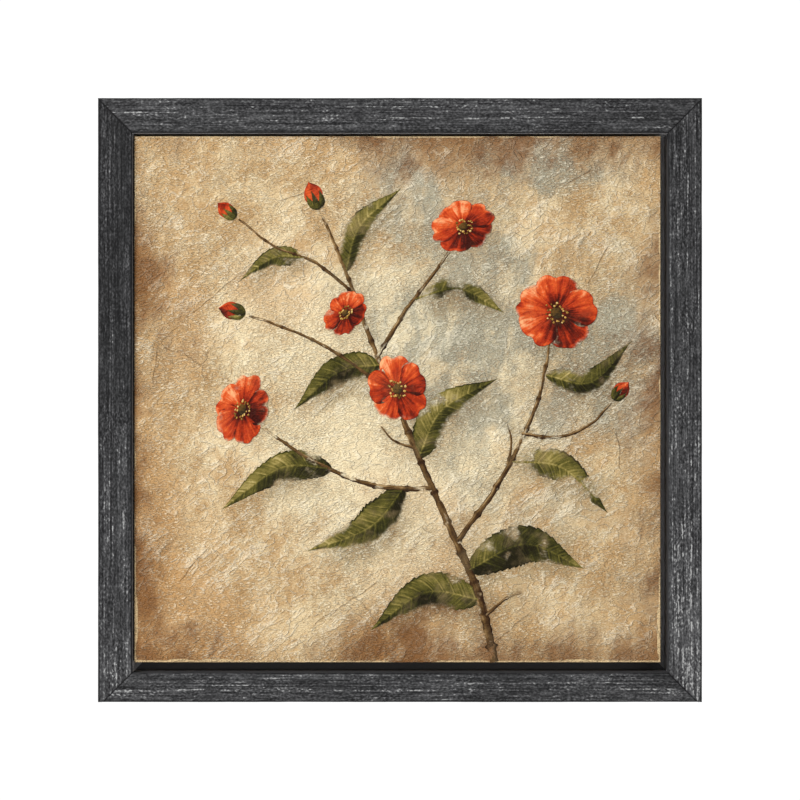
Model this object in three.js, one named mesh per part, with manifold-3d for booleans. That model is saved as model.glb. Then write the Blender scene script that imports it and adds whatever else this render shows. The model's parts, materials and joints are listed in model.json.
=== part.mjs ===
// A square picture in a floater frame: a canvas stretched over four wooden bars, sunk in a mitred
// wooden frame with an open gap all round it, with the screws, staples, corner nails, sawtooth
// hanger and bumpers that hold it together and to the wall.
// Millimetres, +Z up. The picture faces -Y and the wall is the plane y = 0. The origin is the point
// where the wall nail carries the hanger.
import * as THREE from "three";
import { mergeVertices } from "three/addons/utils/BufferGeometryUtils.js";
import Module from "manifold-3d";

const wasm = await Module();
wasm.setup();

const INCH = 25.4;

// Driving dimensions
const CANVAS_SIDE = 12 * INCH;
const CANVAS_DEPTH = 0.75 * INCH;
const FLOAT_GAP = INCH / 8;
const FACE_WIDTH = 0.75 * INCH;
const FRAME_DEPTH = 1.25 * INCH;
const LEDGE_THICKNESS = 0.375 * INCH;
const LEDGE_REACH = 0.5 * INCH;
const CANVAS_SHIFT_X = -1.5;
const CANVAS_SHIFT_Z = 0.7;
const HANGER_DROP = 17;

// Play between pieces that touch
const PLAY = 0.3;

// Frame moulding
const FRAME_SIDE = CANVAS_SIDE + 2 * FLOAT_GAP + 2 * FACE_WIDTH;
const LEDGE_WIDTH = FACE_WIDTH + FLOAT_GAP + LEDGE_REACH;
const OUTER_EDGE_RADIUS = 1.0;
const INNER_EDGE_RADIUS = 1.0;
const BACK_EDGE_RADIUS = 0.6;

// Cloth and stretcher bars
const CLOTH = 0.8;
const CLOTH_EDGE_RADIUS = 1.2;
const FLAP_WIDTH = 28;
const BAR_WIDTH = 1.5 * INCH;
const BAR_SIDE = CANVAS_SIDE - 2 * (CLOTH + PLAY);
const BAR_DEPTH = CANVAS_DEPTH - 2 * (CLOTH + PLAY);
const BEAD_WIDTH = 4;
const BEAD_SLOPE = 3;
const BAR_SLOPE = 4.5;

// Fasteners
const NAIL_STEEL = 0.8;
const CORNER_NAIL_LEG = 6;
const CORNER_NAIL_ANGLE = THREE.MathUtils.degToRad(55);
const OUTER_NAIL = { inset: 12, depth: 10 };
const INNER_NAIL = { inset: 27, depth: 7 };
const BAR_NAIL = { inset: 22, depth: 10 };
const NAIL_PROUD = 0.1;
const STAPLES_PER_SIDE = 5;
const STAPLE_PITCH = 52;
const STAPLE_INSET = 21;
const STAPLE = { crown: 10, wire: 1.2, thickness: 0.6, leg: 6 };
const SCREWS_PER_SIDE = 2;
const SCREW_PITCH = 170;
const SCREW_INTO_CANVAS = 6.5;
const SCREW = { headRadius: 3.6, headHeight: 1.8, radius: 1.7, length: 19, tip: 3 };

// Hanger and bumpers
const BUMPER = { radius: 5.5, height: 3, flatRadius: 4.2, fromCorner: 34, inset: 12 };
const HANGER = {
  length: 45,
  height: 9,
  steel: 0.9,
  rise: 1.7,
  flatEnd: 8,
  ramp: 2.4,
  toothPitch: 3.2,
  teeth: 6,
  toothDepth: 1.8,
  notchDepth: 2.6,
};
const HANGER_NAIL = { inset: 4, headRadius: 1.6, headHeight: 0.7, radius: 0.7, length: 9 };

const WALL_Y = 0;
const BACK_Y = WALL_Y - BUMPER.height;
const CANVAS_BACK_Y = BACK_Y - LEDGE_THICKNESS - PLAY;
const CENTRE_Z = HANGER_DROP - FRAME_SIDE / 2;

const finish = (color, roughness, metalness = 0) =>
  new THREE.MeshStandardMaterial({ color, roughness, metalness });
const charcoalWood = finish(0x474747, 0.62);
const pine = finish(0xc9a877, 0.7);
const paintedCloth = finish(0xc9b48c, 0.75);
const zinc = finish(0xb4b6b8, 0.35, 1);
const brass = finish(0xb89a55, 0.35, 1);
const rubber = finish(0x26272a, 0.8);

// A closed mesh as a manifold-3d solid, and back.
function toSolid(geometry) {
  const bare = geometry.clone();
  bare.deleteAttribute("normal");
  bare.deleteAttribute("uv");
  const merged = mergeVertices(bare, 1e-4);
  return new wasm.Manifold(
    new wasm.Mesh({
      numProp: 3,
      vertProperties: new Float32Array(merged.attributes.position.array),
      triVerts: new Uint32Array(merged.index.array),
    }),
  );
}

function toGeometry(solid) {
  const { numProp, vertProperties, triVerts } = solid.getMesh();
  const points = new Float32Array((vertProperties.length / numProp) * 3);
  for (let i = 0; i < points.length / 3; i++) {
    points.set(vertProperties.subarray(i * numProp, i * numProp + 3), i * 3);
  }
  const geometry = new THREE.BufferGeometry();
  geometry.setAttribute("position", new THREE.BufferAttribute(points, 3));
  geometry.setIndex(new THREE.BufferAttribute(triVerts, 1));
  const flat = geometry.toNonIndexed();
  flat.computeVertexNormals();
  return flat;
}

function named(name, geometry, material) {
  const mesh = new THREE.Mesh(geometry, material);
  mesh.name = name;
  return mesh;
}

// A flat outline in x and z, thickened from y = 0 towards -Y.
function slab(outline, depth, options = {}) {
  const shape = Array.isArray(outline) ? new THREE.Shape(outline) : outline;
  const geometry = new THREE.ExtrudeGeometry(shape, { depth, bevelEnabled: false, ...options });
  return geometry.rotateX(Math.PI / 2);
}

function box(width, depth, height) {
  return new THREE.BoxGeometry(width, depth, height);
}

// The bottom one of four mitred bars round a square. The profile gives the inset from the square's
// outer edge and the height above the bar's back. Both ends are cut at 45 degrees, half the play
// short of the mitre line.
function mitredBar(profile, side) {
  const geometry = new THREE.ExtrudeGeometry(profile, {
    depth: 1,
    bevelEnabled: false,
    curveSegments: 3,
  });
  const points = geometry.attributes.position;
  for (let i = 0; i < points.count; i++) {
    const inset = points.getX(i);
    const height = points.getY(i);
    const end = points.getZ(i) > 0.5 ? 1 : -1;
    const half = side / 2 - inset - PLAY / Math.SQRT2;
    points.setXYZ(i, end * half, -height, inset - side / 2);
  }
  geometry.deleteAttribute("uv");
  geometry.computeVertexNormals();
  return geometry;
}

// An L: a wall with eased edges, whose front is the frame's face, and a ledge that carries the canvas.
function frameProfile() {
  const shape = new THREE.Shape();
  shape.moveTo(BACK_EDGE_RADIUS, 0);
  shape.lineTo(LEDGE_WIDTH, 0);
  shape.lineTo(LEDGE_WIDTH, LEDGE_THICKNESS);
  shape.lineTo(FACE_WIDTH, LEDGE_THICKNESS);
  shape.absarc(
    FACE_WIDTH - INNER_EDGE_RADIUS,
    FRAME_DEPTH - INNER_EDGE_RADIUS,
    INNER_EDGE_RADIUS,
    0,
    Math.PI / 2,
  );
  shape.absarc(
    OUTER_EDGE_RADIUS,
    FRAME_DEPTH - OUTER_EDGE_RADIUS,
    OUTER_EDGE_RADIUS,
    Math.PI / 2,
    Math.PI,
  );
  shape.absarc(BACK_EDGE_RADIUS, BACK_EDGE_RADIUS, BACK_EDGE_RADIUS, Math.PI, 1.5 * Math.PI);
  return shape;
}

// A flat bar with a raised bead along its outer edge, so the cloth touches only the bead.
function stretcherProfile() {
  return new THREE.Shape([
    new THREE.Vector2(0, 0),
    new THREE.Vector2(BAR_WIDTH, 0),
    new THREE.Vector2(BAR_WIDTH, BAR_DEPTH - BAR_SLOPE),
    new THREE.Vector2(BEAD_WIDTH + 2, BAR_DEPTH - BEAD_SLOPE),
    new THREE.Vector2(BEAD_WIDTH, BAR_DEPTH),
    new THREE.Vector2(1, BAR_DEPTH),
    new THREE.Vector2(0, BAR_DEPTH - 1),
  ]);
}

// Four copies of a bar, turned about the picture's centre.
const SIDES = ["bottom", "left", "top", "right"];

function fourBars(prefix, profile, side, material) {
  return SIDES.map((name, i) => {
    const bar = named(`${prefix}_${name}`, mitredBar(profile, side), material);
    bar.rotation.y = (i * Math.PI) / 2;
    return bar;
  });
}

// A square block with all its edges rounded, from y = 0 towards -Y.
function softSquare(side, depth, radius) {
  const half = side / 2 - radius;
  const outline = [
    new THREE.Vector2(-half, -half),
    new THREE.Vector2(half, -half),
    new THREE.Vector2(half, half),
    new THREE.Vector2(-half, half),
  ];
  const block = slab(outline, depth - 2 * radius, {
    bevelEnabled: true,
    bevelThickness: radius,
    bevelSize: radius,
    bevelSegments: 2,
  });
  return block.translate(0, -radius, 0);
}

// One cloth: the front, the four sides, and the flaps folded over the back of the bars.
function foldedCloth() {
  const outside = toSolid(softSquare(CANVAS_SIDE, CANVAS_DEPTH, CLOTH_EDGE_RADIUS));
  const inside = softSquare(
    CANVAS_SIDE - 2 * CLOTH,
    CANVAS_DEPTH - 2 * CLOTH,
    CLOTH_EDGE_RADIUS - CLOTH,
  );
  const window = CANVAS_SIDE - 2 * FLAP_WIDTH;
  const back = box(window, 4 * CLOTH, window);
  return toGeometry(
    outside.subtract(toSolid(inside.translate(0, -CLOTH, 0))).subtract(toSolid(back)),
  );
}

// A steel chevron, driven in from the back across a mitre with its point towards the corner.
function chevron(depth, play) {
  const run = (CORNER_NAIL_LEG + play) * Math.sin(CORNER_NAIL_ANGLE);
  const fall = (CORNER_NAIL_LEG + play) * Math.cos(CORNER_NAIL_ANGLE);
  const half = (NAIL_STEEL / 2 + play) / Math.sin(CORNER_NAIL_ANGLE);
  const outline = [
    new THREE.Vector2(-run, half - fall),
    new THREE.Vector2(-run, -half - fall),
    new THREE.Vector2(0, -half),
    new THREE.Vector2(run, -half - fall),
    new THREE.Vector2(run, half - fall),
    new THREE.Vector2(0, half),
  ];
  return slab(outline, depth);
}

// Corner nails at one inset from the corners of a square. Each carries the slot that it needs.
function cornerNails(prefix, side, { inset, depth }) {
  const corners = ["bottom_left", "top_left", "top_right", "bottom_right"];
  return corners.map((corner, i) => {
    const nail = named(`${prefix}_${corner}`, chevron(depth, 0), zinc);
    nail.geometry.translate(0, NAIL_PROUD, 0);
    nail.userData.hole = chevron(depth + 1 + PLAY, PLAY).translate(0, 1, 0);
    const at = new THREE.Vector3(inset - side / 2, 0, inset - side / 2);
    nail.position.copy(at.applyAxisAngle(new THREE.Vector3(0, 1, 0), (i * Math.PI) / 2));
    nail.rotation.y = (i * Math.PI) / 2 - (3 * Math.PI) / 4;
    return nail;
  });
}

// A staple: a flat wire crown on the cloth and two legs through it into the bar.
function staple(play) {
  const { crown, wire, thickness, leg } = STAPLE;
  const legOf = (sign) =>
    toSolid(
      box(thickness + 2 * play, leg + play, wire + 2 * play).translate(
        (sign * (crown - thickness)) / 2,
        -(leg + play) / 2,
        0,
      ),
    );
  const top = toSolid(box(crown, thickness, wire).translate(0, thickness / 2, 0));
  const legs = legOf(-1).add(legOf(1));
  return play > 0 ? toGeometry(legs) : toGeometry(top.add(legs));
}

// A pan-head wood screw on the Y axis, its head's underside at y = 0 and its point towards -Y.
function screwProfile({ headRadius, headHeight, radius, length, tip }, play) {
  return [
    new THREE.Vector2(0, -length - play),
    new THREE.Vector2(radius + play, -length + tip),
    new THREE.Vector2(radius + play, 0),
    new THREE.Vector2(headRadius, 0),
    new THREE.Vector2(headRadius, headHeight * 0.45),
    new THREE.Vector2(headRadius * 0.78, headHeight * 0.85),
    new THREE.Vector2(headRadius * 0.4, headHeight),
    new THREE.Vector2(0, headHeight),
  ];
}

function turned(profile, segments = 16) {
  return new THREE.LatheGeometry(profile, segments);
}

function screw() {
  const { headRadius, headHeight } = SCREW;
  const body = toSolid(turned(screwProfile(SCREW, 0)));
  const slot = (turn) =>
    toSolid(
      box(headRadius, headHeight * 0.8, 0.9)
        .rotateY(turn)
        .translate(0, headHeight, 0),
    );
  return toGeometry(body.subtract(slot(0)).subtract(slot(Math.PI / 2)));
}

// The straight hole that a screw or nail needs, past both of its ends.
function shankHole({ radius, length }) {
  return turned(
    [
      new THREE.Vector2(0, -length - PLAY),
      new THREE.Vector2(radius + PLAY, -length - PLAY),
      new THREE.Vector2(radius + PLAY, 1),
      new THREE.Vector2(0, 1),
    ],
    12,
  );
}

// The same fastener repeated along all four sides of a square, at one inset from its edge.
function alongSides(prefix, count, pitch, inset, side, geometry, hole) {
  return SIDES.flatMap((name, i) =>
    Array.from({ length: count }, (_, n) => {
      const piece = named(`${prefix}_${name}_${n + 1}`, geometry.clone(), zinc);
      piece.userData.hole = hole;
      const at = new THREE.Vector3((n - (count - 1) / 2) * pitch, 0, inset - side / 2);
      piece.position.copy(at.applyAxisAngle(new THREE.Vector3(0, 1, 0), (i * Math.PI) / 2));
      piece.rotation.y = (i * Math.PI) / 2;
      return piece;
    }),
  );
}

// A bent steel strap with a toothed lower edge. The middle notch's top is at z = 0, the strap's
// flat ends lie on y = 0, and its raised middle stands out towards +Y.
function sawtoothStrap() {
  const { length, height, steel, rise, flatEnd, ramp, toothPitch, teeth } = HANGER;
  const { toothDepth, notchDepth } = HANGER;
  const half = length / 2;
  const side = (sign, lift) => [
    [sign * half, lift],
    [sign * (half - flatEnd), lift],
    [sign * (half - flatEnd - ramp), lift + rise],
  ];
  const outline = [
    ...side(-1, 0),
    ...side(1, 0).reverse(),
    ...side(1, steel),
    ...side(-1, steel).reverse(),
  ].map(([x, y]) => new THREE.Vector2(x, y));
  const strap = new THREE.ExtrudeGeometry(new THREE.Shape(outline), {
    depth: height,
    bevelEnabled: false,
  });
  let solid = toSolid(strap.translate(0, 0, -notchDepth));
  for (let i = -teeth / 2; i <= teeth / 2; i++) {
    const reach = i === 0 ? notchDepth : toothDepth;
    const notch = slab(
      [
        new THREE.Vector2(-toothPitch / 2 + 0.2, -notchDepth - 1),
        new THREE.Vector2(toothPitch / 2 - 0.2, -notchDepth - 1),
        new THREE.Vector2(toothPitch / 2 - 0.2, -notchDepth),
        new THREE.Vector2(0, reach - notchDepth),
        new THREE.Vector2(-toothPitch / 2 + 0.2, -notchDepth),
      ],
      10,
    );
    solid = solid.subtract(toSolid(notch.translate(i * toothPitch, 5, 0)));
  }
  return toGeometry(solid);
}

// A round rubber foot with a flat crown, standing on y = 0 towards +Y.
function bumper() {
  const { radius, height, flatRadius } = BUMPER;
  return turned(
    [
      new THREE.Vector2(0, PLAY / 3),
      new THREE.Vector2(radius, PLAY / 3),
      new THREE.Vector2(radius, height * 0.45),
      new THREE.Vector2(radius - 0.4, height * 0.8),
      new THREE.Vector2(flatRadius, height),
      new THREE.Vector2(0, height),
    ],
    20,
  );
}

// Cuts in the target the hole that each fastener carries.
function drill(target, fasteners) {
  const toTarget = target.matrixWorld.clone().invert();
  let solid = toSolid(target.geometry);
  for (const fastener of fasteners) {
    const hole = fastener.userData.hole.clone();
    hole.applyMatrix4(toTarget.clone().multiply(fastener.matrixWorld));
    solid = solid.subtract(toSolid(hole));
  }
  target.geometry = toGeometry(solid);
}

const picture = new THREE.Group();

const frame = new THREE.Group();
frame.position.set(0, BACK_Y, CENTRE_Z);
const rails = fourBars("rail", frameProfile(), FRAME_SIDE, charcoalWood);
const frameNails = [
  ...cornerNails("corner_nail_outer", FRAME_SIDE, OUTER_NAIL),
  ...cornerNails("corner_nail_inner", FRAME_SIDE, INNER_NAIL),
];
const screws = alongSides(
  "screw",
  SCREWS_PER_SIDE,
  SCREW_PITCH,
  FACE_WIDTH + FLOAT_GAP + SCREW_INTO_CANVAS,
  FRAME_SIDE,
  screw().translate(0, PLAY / 3, 0),
  shankHole(SCREW),
);
frame.add(...rails, ...frameNails, ...screws);

const stretched = new THREE.Group();
stretched.position.set(CANVAS_SHIFT_X, CANVAS_BACK_Y, CENTRE_Z + CANVAS_SHIFT_Z);
const canvas = named("canvas", foldedCloth(), paintedCloth);
const bars = fourBars("stretcher_bar", stretcherProfile(), BAR_SIDE, pine);
const barNails = cornerNails("stretcher_nail", BAR_SIDE, BAR_NAIL);
for (const piece of [...bars, ...barNails]) {
  piece.position.y -= CLOTH + PLAY;
}
const staples = alongSides(
  "staple",
  STAPLES_PER_SIDE,
  STAPLE_PITCH,
  STAPLE_INSET,
  CANVAS_SIDE,
  staple(0).translate(0, PLAY / 3, 0),
  staple(PLAY),
);
stretched.add(canvas, ...bars, ...barNails, ...staples);

const hanging = new THREE.Group();
hanging.position.set(0, BACK_Y, 0);
const hanger = named("sawtooth_hanger", sawtoothStrap().translate(0, PLAY / 3, 0), brass);
const hangerNails = [-1, 1].map((sign) => {
  const profile = screwProfile({ ...HANGER_NAIL, tip: 1.5 }, 0);
  const nail = named(sign < 0 ? "hanger_nail_a" : "hanger_nail_b", turned(profile, 12), brass);
  nail.userData.hole = shankHole(HANGER_NAIL);
  const middle = HANGER.height / 2 - HANGER.notchDepth;
  nail.position.set(sign * (HANGER.length / 2 - HANGER_NAIL.inset), HANGER.steel + 0.2, middle);
  return nail;
});
hanging.add(hanger, ...hangerNails);

const bumpers = [-1, 1].map((sign) => {
  const foot = named(sign < 0 ? "bumper_a" : "bumper_b", bumper(), rubber);
  foot.position.set(
    sign * (FRAME_SIDE / 2 - BUMPER.fromCorner),
    BACK_Y,
    CENTRE_Z - FRAME_SIDE / 2 + BUMPER.inset,
  );
  return foot;
});

picture.add(frame, stretched, hanging, ...bumpers);
picture.updateMatrixWorld(true);

for (const rail of rails) {
  drill(rail, [...frameNails, ...screws, ...hangerNails]);
}
drill(canvas, [...screws, ...staples]);
for (const bar of bars) {
  drill(bar, [...barNails, ...screws, ...staples]);
}
drill(hanger, hangerNails);

export default picture;
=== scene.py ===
"""A square picture in a floater frame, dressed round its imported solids.

Lengths in this file are millimetres unless a name says otherwise, and MM turns them into Blender's
metres. On the picture, a runs to the viewer's right and b runs up, both from the canvas's centre.
"""

import json
import math

import bpy
import numpy as np
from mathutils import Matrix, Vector

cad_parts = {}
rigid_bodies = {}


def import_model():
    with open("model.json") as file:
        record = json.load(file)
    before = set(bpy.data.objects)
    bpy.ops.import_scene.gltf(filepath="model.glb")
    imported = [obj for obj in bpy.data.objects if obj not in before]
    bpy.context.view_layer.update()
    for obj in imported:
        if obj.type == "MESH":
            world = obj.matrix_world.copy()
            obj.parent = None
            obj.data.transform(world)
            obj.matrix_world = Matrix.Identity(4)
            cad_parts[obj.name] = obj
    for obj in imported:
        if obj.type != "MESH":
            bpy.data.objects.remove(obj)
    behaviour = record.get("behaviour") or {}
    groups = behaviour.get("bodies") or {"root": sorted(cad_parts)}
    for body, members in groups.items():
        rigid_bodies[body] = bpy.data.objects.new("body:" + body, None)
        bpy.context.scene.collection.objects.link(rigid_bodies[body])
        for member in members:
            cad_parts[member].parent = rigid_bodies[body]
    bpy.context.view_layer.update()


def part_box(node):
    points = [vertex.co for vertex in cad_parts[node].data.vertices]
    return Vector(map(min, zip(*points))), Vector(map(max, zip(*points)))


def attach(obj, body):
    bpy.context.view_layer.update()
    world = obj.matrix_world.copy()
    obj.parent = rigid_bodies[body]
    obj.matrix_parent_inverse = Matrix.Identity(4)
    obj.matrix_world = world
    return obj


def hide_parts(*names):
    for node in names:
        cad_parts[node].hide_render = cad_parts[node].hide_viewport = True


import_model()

bl_info = {
    "name": "Framed Canvas Picture",
    "version": (1, 0, 0),
    "blender": (4, 5, 0),
    "location": "View3D > Sidebar > Picture",
    "description": "Builds a painted canvas in a charcoal floater frame",
    "category": "Add Mesh",
}

MM = 0.001

# Sizes of the moulding that its solids' boxes don't give
LEDGE_THICKNESS = 9.525
LEDGE_REACH = 15.875
OUTER_EDGE_RADIUS = 0.8
INNER_EDGE_RADIUS = 0.4
BACK_EDGE_RADIUS = 0.6

# Width of each rail's face, and the groove where two rails meet
FACE_WIDTHS = {"rail_bottom": 17.0, "rail_left": 19.8, "rail_top": 20.2, "rail_right": 19.6}
GROOVE_WIDTH = 0.26
GROOVE_DEPTH = 0.15

# Where a rail's first rows of points lie, from its mitre; and how far apart the grain of two rails lies
MITRE_ROWS = (0, 0.2, 0.45, 1.2)
EVEN_ROWS_FROM = 2
GRAIN_SHIFT = 400

# Layers of the canvas, inside the thickness of its solid
PAINT_SKIN = 0.3
COTTON = 0.5
CANVAS_EDGE_RADIUS = 0.5
FLAP_WIDTH = 28.0
THREAD = 0.55
CLOTH_CELLS = 80

# How far off the weave of the cloth's inside lies on its flat pattern
INSIDE_SHIFT = 300

# The cloth hangs a little low on its bars
CANVAS_SAG = 0.25

# Numbers that stand for far away in layers of distances: from a line, and from a fold of the cloth
FAR = 9.0
FAR_FROM_FOLD = 99.0

# How deep a paint film's rim is sunk in the ground
FILM_SINK = 0.12


def node_box(name):
    """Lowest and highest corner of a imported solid, in millimetres."""
    return tuple(np.array(corner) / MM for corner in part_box(name))


RAILS = list(FACE_WIDTHS)
LEFT_RAIL = node_box("rail_left")
RIGHT_RAIL = node_box("rail_right")
CANVAS = node_box("canvas")
FRAME_X = (LEFT_RAIL[0][0] + RIGHT_RAIL[1][0]) / 2
FRAME_Z = (node_box("rail_bottom")[0][2] + node_box("rail_top")[1][2]) / 2
FRAME_SIDE = RIGHT_RAIL[1][0] - LEFT_RAIL[0][0]
FRAME_BACK, FRAME_FRONT = LEFT_RAIL[1][1], LEFT_RAIL[0][1]
FRAME_DEPTH = FRAME_BACK - FRAME_FRONT
CANVAS_X, CANVAS_Z = (CANVAS[0] + CANVAS[1])[[0, 2]] / 2 - [0, CANVAS_SAG]
CANVAS_SIDE = CANVAS[1][0] - CANVAS[0][0]
CANVAS_FRONT, CANVAS_BACK = CANVAS[0][1], CANVAS[1][1]


def srgb(red, green, blue):
    """A colour from 0 to 255 on a screen, as linear red, green and blue."""
    screen = np.array([red, green, blue]) / 255
    return tuple(np.where(screen > 0.04045, ((screen + 0.055) / 1.055) ** 2.4, screen / 12.92))


# Colours of bare wood, metal and rubber
BARE_WOOD = [(0.3, srgb(150, 114, 74)), (0.5, srgb(186, 150, 106)), (0.7, srgb(210, 180, 138))]
WOOD_PORE = srgb(104, 72, 44)
OVERSPRAY = srgb(120, 104, 88)
OPEN_MITRE = srgb(70, 50, 34)
PINE_EARLY, PINE_LATE = srgb(222, 190, 142), srgb(182, 132, 80)
PINE_FIBRE, PINE_PORE = srgb(238, 214, 172), srgb(156, 112, 68)
PINE_KNOT, PINE_DIRT = srgb(96, 58, 32), srgb(150, 116, 78)
ZINC = {"clean": srgb(186, 188, 190), "dull": srgb(140, 142, 146), "rust": srgb(122, 84, 58)}
BRASS = {"clean": srgb(214, 176, 98), "dull": srgb(176, 136, 68), "rust": srgb(96, 66, 44)}
PLATING_METALLIC = 0.95
RUBBER, RUBBER_DUST = srgb(30, 31, 33), srgb(120, 116, 110)


# Noise on arrays


def lattice(column, row, seed):
    """A fixed random number from -1 to 1 for each whole point of the plane."""
    mixed = (column * 374761393 + row * 668265263 + seed * 974634777) & 0xFFFFFFFF
    mixed = ((mixed ^ (mixed >> 13)) * 1274126177) & 0xFFFFFFFF
    return ((mixed ^ (mixed >> 16)) & 0xFFFF) / 32767.5 - 1


def noise(x, y, seed):
    """Smooth noise from -1 to 1: the lattice's values, eased between whole points by
    3 t^2 - 2 t^3 along both axes."""
    x, y = np.broadcast_arrays(x, y)
    column, row = np.floor(x).astype(np.int64), np.floor(y).astype(np.int64)
    along, up = x - column, y - row
    along, up = along * along * (3 - 2 * along), up * up * (3 - 2 * up)
    low = lattice(column, row, seed) * (1 - along) + lattice(column + 1, row, seed) * along
    high = lattice(column, row + 1, seed) * (1 - along) + lattice(column + 1, row + 1, seed) * along
    return low * (1 - up) + high * up


def layered_noise(x, y, seed, layers=4):
    """Noise at doubling frequency and halving strength, added up and kept within -1 to 1."""
    total = sum(noise(x * 2**i, y * 2**i, seed + 17 * i) / 2**i for i in range(layers))
    return total / 1.4


def ease(value, low, high):
    """0 below low, 1 above high, and 3 t^2 - 2 t^3 between them."""
    t = np.clip((value - low) / (high - low), 0, 1)
    return t * t * (3 - 2 * t)


# Meshes from arrays


def grid_quads(rows, columns, closed=False):
    """Corner numbers of the quads of a grid of points, row by row. A closed grid joins its last
    column to its first."""
    row = np.arange(rows - 1)[:, None]
    column = np.arange(columns if closed else columns - 1)[None, :]
    after = (column + 1) % columns
    here, there = row * columns, (row + 1) * columns
    return np.stack([here + column, here + after, there + after, there + column], -1).reshape(-1, 4)


def border_loop(rows, columns):
    """Numbers of a grid's border points: along row 0, the last column, the last row and column 0."""
    number = np.arange(rows * columns).reshape(rows, columns)
    sides = [number[0, :-1], number[:-1, -1], number[-1, :0:-1], number[:0:-1, 0]]
    return np.concatenate(sides)


def loop_quads(near, far):
    """Quads from a surface's border loop to the next loop beyond it, facing the surface's way."""
    return np.stack([np.roll(near, -1), near, far, np.roll(far, -1)], -1)


def make_piece(name, points, faces, finish, layers=None, uv=None, crease=40):
    """A mesh piece from points in millimetres, with its finish, its numbers at each point, and
    edges sharper than crease degrees kept sharp."""
    mesh = bpy.data.meshes.new(name)
    mesh.from_pydata((points * MM).tolist(), [], faces)
    mesh.polygons.foreach_set("use_smooth", np.ones(len(mesh.polygons), bool))
    mesh.set_sharp_from_angle(angle=math.radians(crease))
    for key, values in (layers or {}).items():
        layer = mesh.attributes.new(key, "FLOAT", "POINT")
        layer.data.foreach_set("value", np.ascontiguousarray(values, dtype=np.float32).ravel())
    if uv is not None:
        corner = np.empty(len(mesh.loops), np.int32)
        mesh.loops.foreach_get("vertex_index", corner)
        mesh.uv_layers.new(name="surface").data.foreach_set("uv", (uv[corner] * MM).ravel())
    mesh.materials.append(finish)
    mesh.update()
    piece = bpy.data.objects.new(name, mesh)
    bpy.context.scene.collection.objects.link(piece)
    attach(piece, "root")
    return piece


def dress(finish, *names):
    """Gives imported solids, named by their first letters, a finish."""
    for solid in bpy.data.objects:
        if solid.type == "MESH" and solid.name.startswith(names):
            for slot in solid.material_slots:
                slot.material = finish


# Shader maths


class Value:
    """A number or colour that varies over a surface. +, -, * and / add Math nodes."""

    def __init__(self, finish, socket):
        self.finish = finish
        self.socket = socket

    def math(self, operation, *numbers):
        return self.finish.node("ShaderNodeMath", {"operation": operation}, dict(enumerate(numbers)))

    def __add__(self, other):
        return self.math("ADD", self, other)

    def __sub__(self, other):
        return self.math("SUBTRACT", self, other)

    def __rsub__(self, other):
        return self.math("SUBTRACT", other, self)

    def __mul__(self, other):
        return self.math("MULTIPLY", self, other)

    def __truediv__(self, other):
        return self.math("DIVIDE", self, other)

    __radd__ = __add__
    __rmul__ = __mul__

    def sine(self):
        return self.math("SINE", self)

    def fraction(self):
        return self.math("FRACT", self)

    def absolute(self):
        return self.math("ABSOLUTE", self)

    def least(self, other):
        return self.math("MINIMUM", self, other)

    def most(self, other):
        return self.math("MAXIMUM", self, other)

    def eased(self, low, high):
        """0 below low, 1 above high, smooth between."""
        settings = {"interpolation_type": "SMOOTHSTEP"}
        return self.finish.node("ShaderNodeMapRange", settings, {0: self, 1: low, 2: high})


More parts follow.
